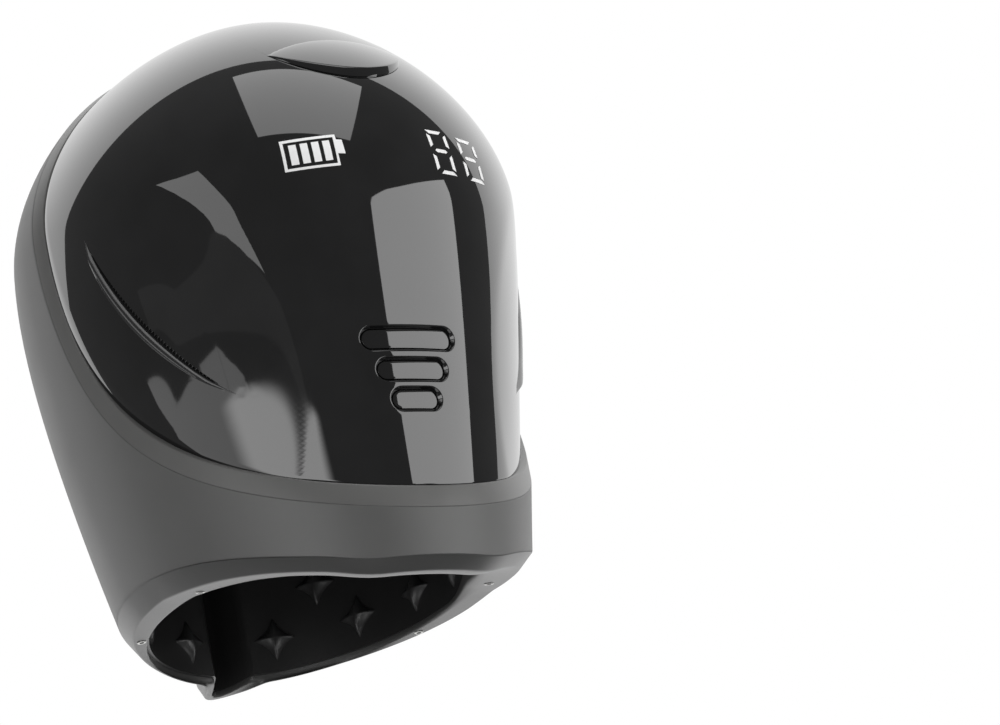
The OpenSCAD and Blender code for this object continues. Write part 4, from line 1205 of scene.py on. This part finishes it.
def bar_mesh(name, size):
    """A bar with bevelled edges."""
    work = bmesh.new()
    bmesh.ops.create_cube(work, size=1)
    bmesh.ops.scale(work, vec=[s * MM for s in size], verts=work.verts)
    bmesh.ops.bevel(work, geom=work.edges[:], offset=RIB_BEVEL * MM, segments=2, affect="EDGES",
                    profile=0.5)
    mesh = bpy.data.meshes.new(name)
    work.to_mesh(mesh)
    work.free()
    mesh.shade_smooth()
    return bpy.data.objects.new(name, mesh)


def rib_places(side):
    """Places across the slot of one gill, with their outward and crosswise directions."""
    long = np.linalg.norm(GILL_TOP - GILL_FOOT)
    count = int(long * (SLOT_ENDS - SLOT_STARTS) / RIB_PITCH)
    places = []
    for t in np.linspace(SLOT_STARTS + RIB_CLEAR, SLOT_ENDS - RIB_CLEAR, count):
        low, high, on = (on_side(gill_line(sag, np.array([t + ahead])), VISOR_INSET + RIB_INSET, side)
                         for sag, ahead in ((RIB_LOW, 0), (RIB_HIGH, 0), ((RIB_LOW + RIB_HIGH) / 2, 0.01)))
        here = (low + high) / 2
        along = (on - here)[0] / np.linalg.norm(on - here)
        across = (high - low)[0] / np.linalg.norm(high - low)
        outward = np.cross(across, along)
        outward *= np.sign(outward[0]) * side / np.linalg.norm(outward)
        places.append((dished(here)[0], outward, across))
    return places


gill_ribs = set_out("gill_ribs", rib_places(1) + rib_places(-1),
                    bar_mesh("one_rib", (RIB_THICK, RIB_LONG, RIB_DEEP)), gill_mesh)
hand_over(gill_ribs, "hood", "gill", gill_mesh)

# %% [markdown]
# ## Screws under the lip
# Four screws hold the lip ring from below. Their places come from the solid model and their directions
# from the ring's underside. Each one is set into the underside of the ring, between the foot and the
# opening, with the same node tree.

# %% Lip screws
HEAD_R, HEAD_HIGH, HEAD_EDGE, SHANK_LOW = 2.7, 0.5, 0.3, -3
HEX_R, HEX_EDGE, HEX_DEEP, HEX_MIDDLE = 1.3, 0.1, 1.4, 1.6
TOWARDS_OPENING = 0.45


def screw_mesh():
    """A round head with a six-sided socket."""
    turn = np.linspace(0, 2 * np.pi, TURN_STEPS, endpoint=False)
    hexagon = HEX_R / np.cos((turn % (np.pi / 3)) - np.pi / 6)
    section = ((0.001, SHANK_LOW), (HEAD_R, SHANK_LOW), (HEAD_R, HEAD_HIGH - HEAD_EDGE),
               (HEAD_R - HEAD_EDGE, HEAD_HIGH), (hexagon + HEX_EDGE, HEAD_HIGH),
               (hexagon, HEAD_HIGH - HEX_EDGE), (hexagon, HEAD_HIGH - HEX_DEEP),
               (0.001, HEAD_HIGH - HEX_MIDDLE))
    rings = [np.stack([radius * np.cos(turn), radius * np.sin(turn), high + 0 * turn], 1)
             for radius, high in section]
    return turned("one_screw", rings, 0.000005, 35)


screw_steel = finish("screw steel", (0.3, 0.3, 0.29), 0.28, mottle=0.05, metal=1.0, rough_spread=0.08)
model_points = np.array([v.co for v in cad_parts["rim_screws"].data.vertices])
screw_places = []
for a in (-1, 1):
    for b in (-1, 1):
        x, y, _ = model_points[(model_points[:, 0] * a > 0) & (model_points[:, 1] * b > 0)].mean(0)
        column = np.argmin(np.hypot(foot[:, 0] * MM - x, foot[:, 1] * MM - y))
        here = (1 - TOWARDS_OPENING) * flat[column] + TOWARDS_OPENING * opening[column]
        down = np.cross(opening[column] - flat[column], flat[(column + 1) % RING_COLS] - flat[column])
        down *= -np.sign(down[2]) / np.linalg.norm(down)
        screw_places.append((here, down, np.array([0, 1.0, 0])))
lip_screws = set_out("rim_screws", screw_places, screw_mesh(), screw_steel)
hand_over(lip_screws, "hood", "screw", screw_steel, "rim_screws")

# %% [markdown]
# ## Parts inside and below
# Fan, heater, battery trays and boards come straight from the solid model, which already has their
# real shapes. They only need finishes: plain mouldings are satin, metals have a little spread in
# their roughness, and the boards are a dark green lacquer.

# %% Finishes for the inner parts
inner_plastic = finish("inner plastic", (0.06, 0.061, 0.063), 0.5, grain=0.3, size=2200, mottle=0.08)
fan_plastic = finish("fan plastic", (0.03, 0.031, 0.033), 0.38, grain=0.15, size=2600, mottle=0.06)
motor_steel = finish("motor steel", (0.42, 0.42, 0.41), 0.32, grain=0.1, size=900, mottle=0.04, metal=1.0,
                     rough_spread=0.08)
shaft_steel = finish("shaft steel", (0.6, 0.6, 0.59), 0.18, mottle=0.03, metal=1.0, rough_spread=0.05)
mica = finish("mica", (0.5, 0.42, 0.3), 0.45, grain=0.4, size=700, mottle=0.22)
heater_wire = finish("heater wire", (0.42, 0.36, 0.31), 0.4, mottle=0.25, metal=1.0, rough_spread=0.12)
cutoff_tin = finish("cutoff tin", (0.55, 0.55, 0.54), 0.3, mottle=0.05, metal=1.0, rough_spread=0.08)
cell_wrap = finish("cell wrap", (0.03, 0.1, 0.24), 0.34, mottle=0.06, coat=0.3)
board_lacquer = finish("board lacquer", (0.008, 0.07, 0.035), 0.3, grain=0.12, size=1400, mottle=0.14,
                       coat=0.4)
chip_black = finish("chip black", (0.018, 0.018, 0.019), 0.45, grain=0.2, size=3000, mottle=0.1)
switch_black = finish("switch black", (0.02, 0.02, 0.021), 0.4, grain=0.2, size=2600, mottle=0.06)
pad_rubber = finish("pad rubber", (0.05, 0.05, 0.052), 0.7, grain=0.3, size=2000, mottle=0.1)
gasket_foam = finish("gasket foam", (0.025, 0.025, 0.026), 0.9, grain=0.7, size=1800, mottle=0.2)
socket_black = finish("socket black", (0.014, 0.014, 0.015), 0.32, grain=0.1, size=2600, mottle=0.06)
print("finishes:", len(bpy.data.materials))

# %% Dressing the inner parts
DRESS = {
    inner_plastic: ("plenum_shell", "component_deck", "front_panel", "button_carrier", "battery_trays"),
    fan_plastic: ("fan_shroud", "fan_grille", "impeller"), motor_steel: ("fan_motor",),
    shaft_steel: ("motor_shaft",), mica: ("heater_frame",), heater_wire: ("heater_element",),
    cutoff_tin: ("thermal_cutoff",), cell_wrap: ("battery_cells",),
    board_lacquer: ("main_board", "display_board", "switch_board"), chip_black: ("board_parts",),
    switch_black: ("tact_switches",), pad_rubber: ("return_pads",), gasket_foam: ("plenum_gasket",),
    socket_black: ("charge_socket",), screw_steel: ("deck_screws", "board_screws", "fan_screws"),
}
for look, names in DRESS.items():
    for name in names:
        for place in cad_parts[name].material_slots:
            place.material = look
bare = [n for n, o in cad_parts.items() if not o.hide_render and n not in sum(DRESS.values(), ())]
print("dressed:", sum(map(len, DRESS.values())), "left plain:", bare)

# %% [markdown]
# ## Floor, light and background
# The background is a plain white room. The hood is lit by broad soft lamps, and the polished visor
# shows them as pale shapes. The floor only carries the shadow; seen from below it lets the view pass.

# %% Floor
FLOOR_HALF, FLOOR_Z = 3, -0.0004
floor_mesh = bpy.data.meshes.new("floor")
floor_corners = [(x * FLOOR_HALF, y * FLOOR_HALF, FLOOR_Z) for x, y in ((-1, -1), (1, -1), (1, 1), (-1, 1))]
floor_mesh.from_pydata(floor_corners, [], [(0, 1, 2, 3)])
floor = bpy.data.objects.new("floor", floor_mesh)
SCENE.collection.objects.link(floor)
paper = bpy.data.materials.new("paper")
paper.use_nodes = True
nodes, links = paper.node_tree.nodes, paper.node_tree.links
nodes["Principled BSDF"].inputs["Base Color"].default_value = (0.9, 0.9, 0.9, 1)
nodes["Principled BSDF"].inputs["Roughness"].default_value = 0.9
clear = nodes.new("ShaderNodeBsdfTransparent")
side = nodes.new("ShaderNodeNewGeometry")
mix = nodes.new("ShaderNodeMixShader")
links.new(side.outputs["Backfacing"], mix.inputs[0])
links.new(nodes["Principled BSDF"].outputs[0], mix.inputs[1])
links.new(clear.outputs[0], mix.inputs[2])
links.new(mix.outputs[0], nodes["Material Output"].inputs["Surface"])
floor_mesh.materials.append(paper)
floor.visible_diffuse = False
floor.visible_glossy = False
floor.visible_transmission = False
floor.visible_shadow = False
print("floor:", 2 * FLOOR_HALF, "m wide, seen only from above")

# %% World
def calculating(nodes, operation, second=None):
    """A node for one step of arithmetic, with its second value fixed where one is given."""
    node = nodes.new("ShaderNodeMath")
    node.operation = operation
    if second is not None:
        node.inputs[1].default_value = second
    return node


world = bpy.data.worlds.new("room")
SCENE.world = world
world.use_nodes = True
nodes, links = world.node_tree.nodes, world.node_tree.links
background = nodes["Background"]
background.inputs["Color"].default_value = (1, 1, 1, 1)
WALL_EDGE, WALL_NEAR, WALL_FAR, WALL_FALL, ROOM, ROOM_LIGHT = -0.47, 1.95, 0.85, 4, 0.21, 0.62
AWAY = (STAND.to_3x3() @ BACK).normalized()
place = nodes.new("ShaderNodeTexCoord")
facing = nodes.new("ShaderNodeVectorMath")
facing.operation = "DOT_PRODUCT"
facing.inputs[1].default_value = AWAY
behind = calculating(nodes, "LESS_THAN", WALL_EDGE)
links.new(place.outputs["Generated"], facing.inputs[0])
links.new(facing.outputs["Value"], behind.inputs[0])
depth = nodes.new("ShaderNodeMapRange")
depth.inputs["From Min"].default_value = WALL_EDGE
depth.inputs["From Max"].default_value = -1
fall = calculating(nodes, "POWER", WALL_FALL)
wall = calculating(nodes, "MULTIPLY_ADD", WALL_FAR - WALL_NEAR)
wall.inputs[2].default_value = WALL_NEAR
room = nodes.new("ShaderNodeMix")
room.data_type = "FLOAT"
room.inputs["A"].default_value = ROOM
links.new(facing.outputs["Value"], depth.inputs["Value"])
links.new(depth.outputs["Result"], fall.inputs[0])
links.new(fall.outputs[0], wall.inputs[0])
links.new(behind.outputs[0], room.inputs["Factor"])
links.new(wall.outputs[0], room.inputs["B"])
paths = nodes.new("ShaderNodeLightPath")
mirror = calculating(nodes, "MAXIMUM")
links.new(paths.outputs["Is Glossy Ray"], mirror.inputs[0])
links.new(paths.outputs["Is Transmission Ray"], mirror.inputs[1])
soft = nodes.new("ShaderNodeMix")
soft.data_type = "FLOAT"
soft.inputs["A"].default_value = ROOM_LIGHT
links.new(mirror.outputs[0], soft.inputs["Factor"])
links.new(room.outputs["Result"], soft.inputs["B"])
seen = nodes.new("ShaderNodeMix")
seen.data_type = "FLOAT"
seen.inputs["B"].default_value = 1.0
links.new(paths.outputs["Is Camera Ray"], seen.inputs["Factor"])
links.new(soft.outputs["Result"], seen.inputs["A"])
links.new(seen.outputs["Result"], background.inputs["Strength"])
print("room light:", ROOM_LIGHT)

# %% Lamps
def lamp(name, middle, aim, width, height, glow, glossy=False):
    """A soft lamp; places are in the hood's frame in metres, glow is its brightness as seen."""
    data = bpy.data.lights.new(name, "AREA")
    data.shape = "RECTANGLE"
    data.size, data.size_y = width, height
    data.energy = glow * math.pi * width * height
    lamp_object = bpy.data.objects.new(name, data)
    SCENE.collection.objects.link(lamp_object)
    look = (Vector(aim) - Vector(middle)).to_track_quat("-Z", "Y").to_matrix().to_4x4()
    lamp_object.matrix_world = STAND @ Matrix.Translation(middle) @ look
    lamp_object.visible_camera = False
    lamp_object.visible_glossy = glossy
    return lamp_object


lamp("overhead", (0.0, -0.45, 1.42), (-0.036, -0.141, 0.266), 0.87, 0.98, 4.0)
lamp("tall right", (0.76, -1.02, 0.53), (0.014, -0.165, 0.135), 0.62, 0.41, 4.0)
lamp("opening", (-0.25, -0.35, -0.5), (0, 0.02, 0.1), 0.35, 0.35, 1.2, glossy=True)

# %% [markdown]
# ## Soft panels for the reflections
# A polished visor shows the panels of a studio, so their outlines matter more than their light. Area
# lamps are always rectangles seen square on. Glowing sheets can have any four corners and a soft
# edge, and the lamps above then only light the matte parts.

# %% Panel helper
def panel_glow(name, glow, side_edge, top_edge):
    """Emission that fades to clear near the sides and near the top and bottom."""
    material = bpy.data.materials.new(name)
    material.use_nodes = True
    nodes, links = material.node_tree.nodes, material.node_tree.links
    nodes.remove(nodes["Principled BSDF"])
    across = nodes.new("ShaderNodeUVMap")
    parts = nodes.new("ShaderNodeSeparateXYZ")
    links.new(across.outputs["UV"], parts.inputs[0])
    shares = []
    for axis, edge in ((0, side_edge), (1, top_edge)):
        far, least = calculating(nodes, "SUBTRACT"), calculating(nodes, "MINIMUM")
        far.inputs[0].default_value = 1
        fade = nodes.new("ShaderNodeMapRange")
        fade.interpolation_type = "SMOOTHSTEP"
        fade.inputs["From Max"].default_value = edge
        links.new(parts.outputs[axis], far.inputs[1])
        links.new(parts.outputs[axis], least.inputs[0])
        links.new(far.outputs[0], least.inputs[1])
        links.new(least.outputs[0], fade.inputs["Value"])
        shares.append(fade.outputs["Result"])
    both = calculating(nodes, "MULTIPLY")
    links.new(shares[0], both.inputs[0])
    links.new(shares[1], both.inputs[1])
    light = nodes.new("ShaderNodeEmission")
    clear = nodes.new("ShaderNodeBsdfTransparent")
    mix = nodes.new("ShaderNodeMixShader")
    light.inputs["Strength"].default_value = glow
    links.new(both.outputs[0], mix.inputs[0])
    links.new(clear.outputs[0], mix.inputs[1])
    links.new(light.outputs[0], mix.inputs[2])
    links.new(mix.outputs[0], nodes["Material Output"].inputs["Surface"])
    return material


PANEL_STEPS = 9


def panel(name, corners, glow, side_edge=0.004, top_edge=0.004):
    """A glowing sheet between four corners: top left, top right, bottom right, bottom left."""
    share = np.linspace(0, 1, PANEL_STEPS)
    u, v = (g.ravel()[:, None] for g in np.meshgrid(share, share))
    a, b, c, d = (np.array(corner) for corner in corners)
    points = ((a * (1 - u) + b * u) * (1 - v) + (d * (1 - u) + c * u) * v) / MM
    mesh = bpy.data.meshes.new(name)
    mesh.from_pydata(stand(points).tolist(), [], strip_faces(PANEL_STEPS, PANEL_STEPS))
    layer = mesh.uv_layers.new(name="UVMap")
    for loop in mesh.loops:
        layer.data[loop.index].uv = (u[loop.vertex_index, 0], v[loop.vertex_index, 0])
    mesh.materials.append(panel_glow(name, glow, side_edge, top_edge))
    sheet = bpy.data.objects.new(name, mesh)
    SCENE.collection.objects.link(sheet)
    sheet.visible_camera = sheet.visible_diffuse = sheet.visible_shadow = False


print("panel mesh:", PANEL_STEPS, "points each way")

# %% Panels
LOW_FOLD_TOP, LOW_FOLD_FOOT = (-1.28, -0.225, 0.276), (-1.28, -0.225, -0.1)
panel("roof panel", ((-0.2, 0.07, 1.47), (0.51, -0.23, 1.36), (0.25, -0.93, 1.12), (-0.54, -0.69, 1.2)),
      2.5)
panel("tall panel", ((0.31, -1.26, 0.58), (1.0, -0.67, 0.74), (1.12, -0.6, -0.3), (0.33, -1.3, -0.3)),
      3.9)
panel("temple panel", ((-1.2, 0, 0.7), (-1.07, -0.4, 0.9), (-1.01, -0.87, 0.4), (-1.22, -0.4, 0.34)),
      2.2)
panel("low panel left", ((-1.21, 0.4, 0.178), LOW_FOLD_TOP, LOW_FOLD_FOOT, (-1.21, 0.4, -0.1)), 1.4)
panel("low panel right", (LOW_FOLD_TOP, (-1.235, -0.4, 0.256), (-1.235, -0.4, -0.1), LOW_FOLD_FOOT), 1.4)
panel("low glow", ((-1.27, -0.05, 0.205), (-0.808, -1.178, 0.341), (-0.808, -1.178, -0.25),
                   (-1.27, -0.05, -0.25)), 4.0, side_edge=0.17, top_edge=0.02)
panel("dim panel", ((-1.27, 0.2, 0.33), (-0.95, -0.93, 0.375), (-0.95, -0.93, 0.3), (-1.27, 0.2, 0.26)),
      0.3)

# %% Finish
SCENE.view_settings.view_transform = "Standard"
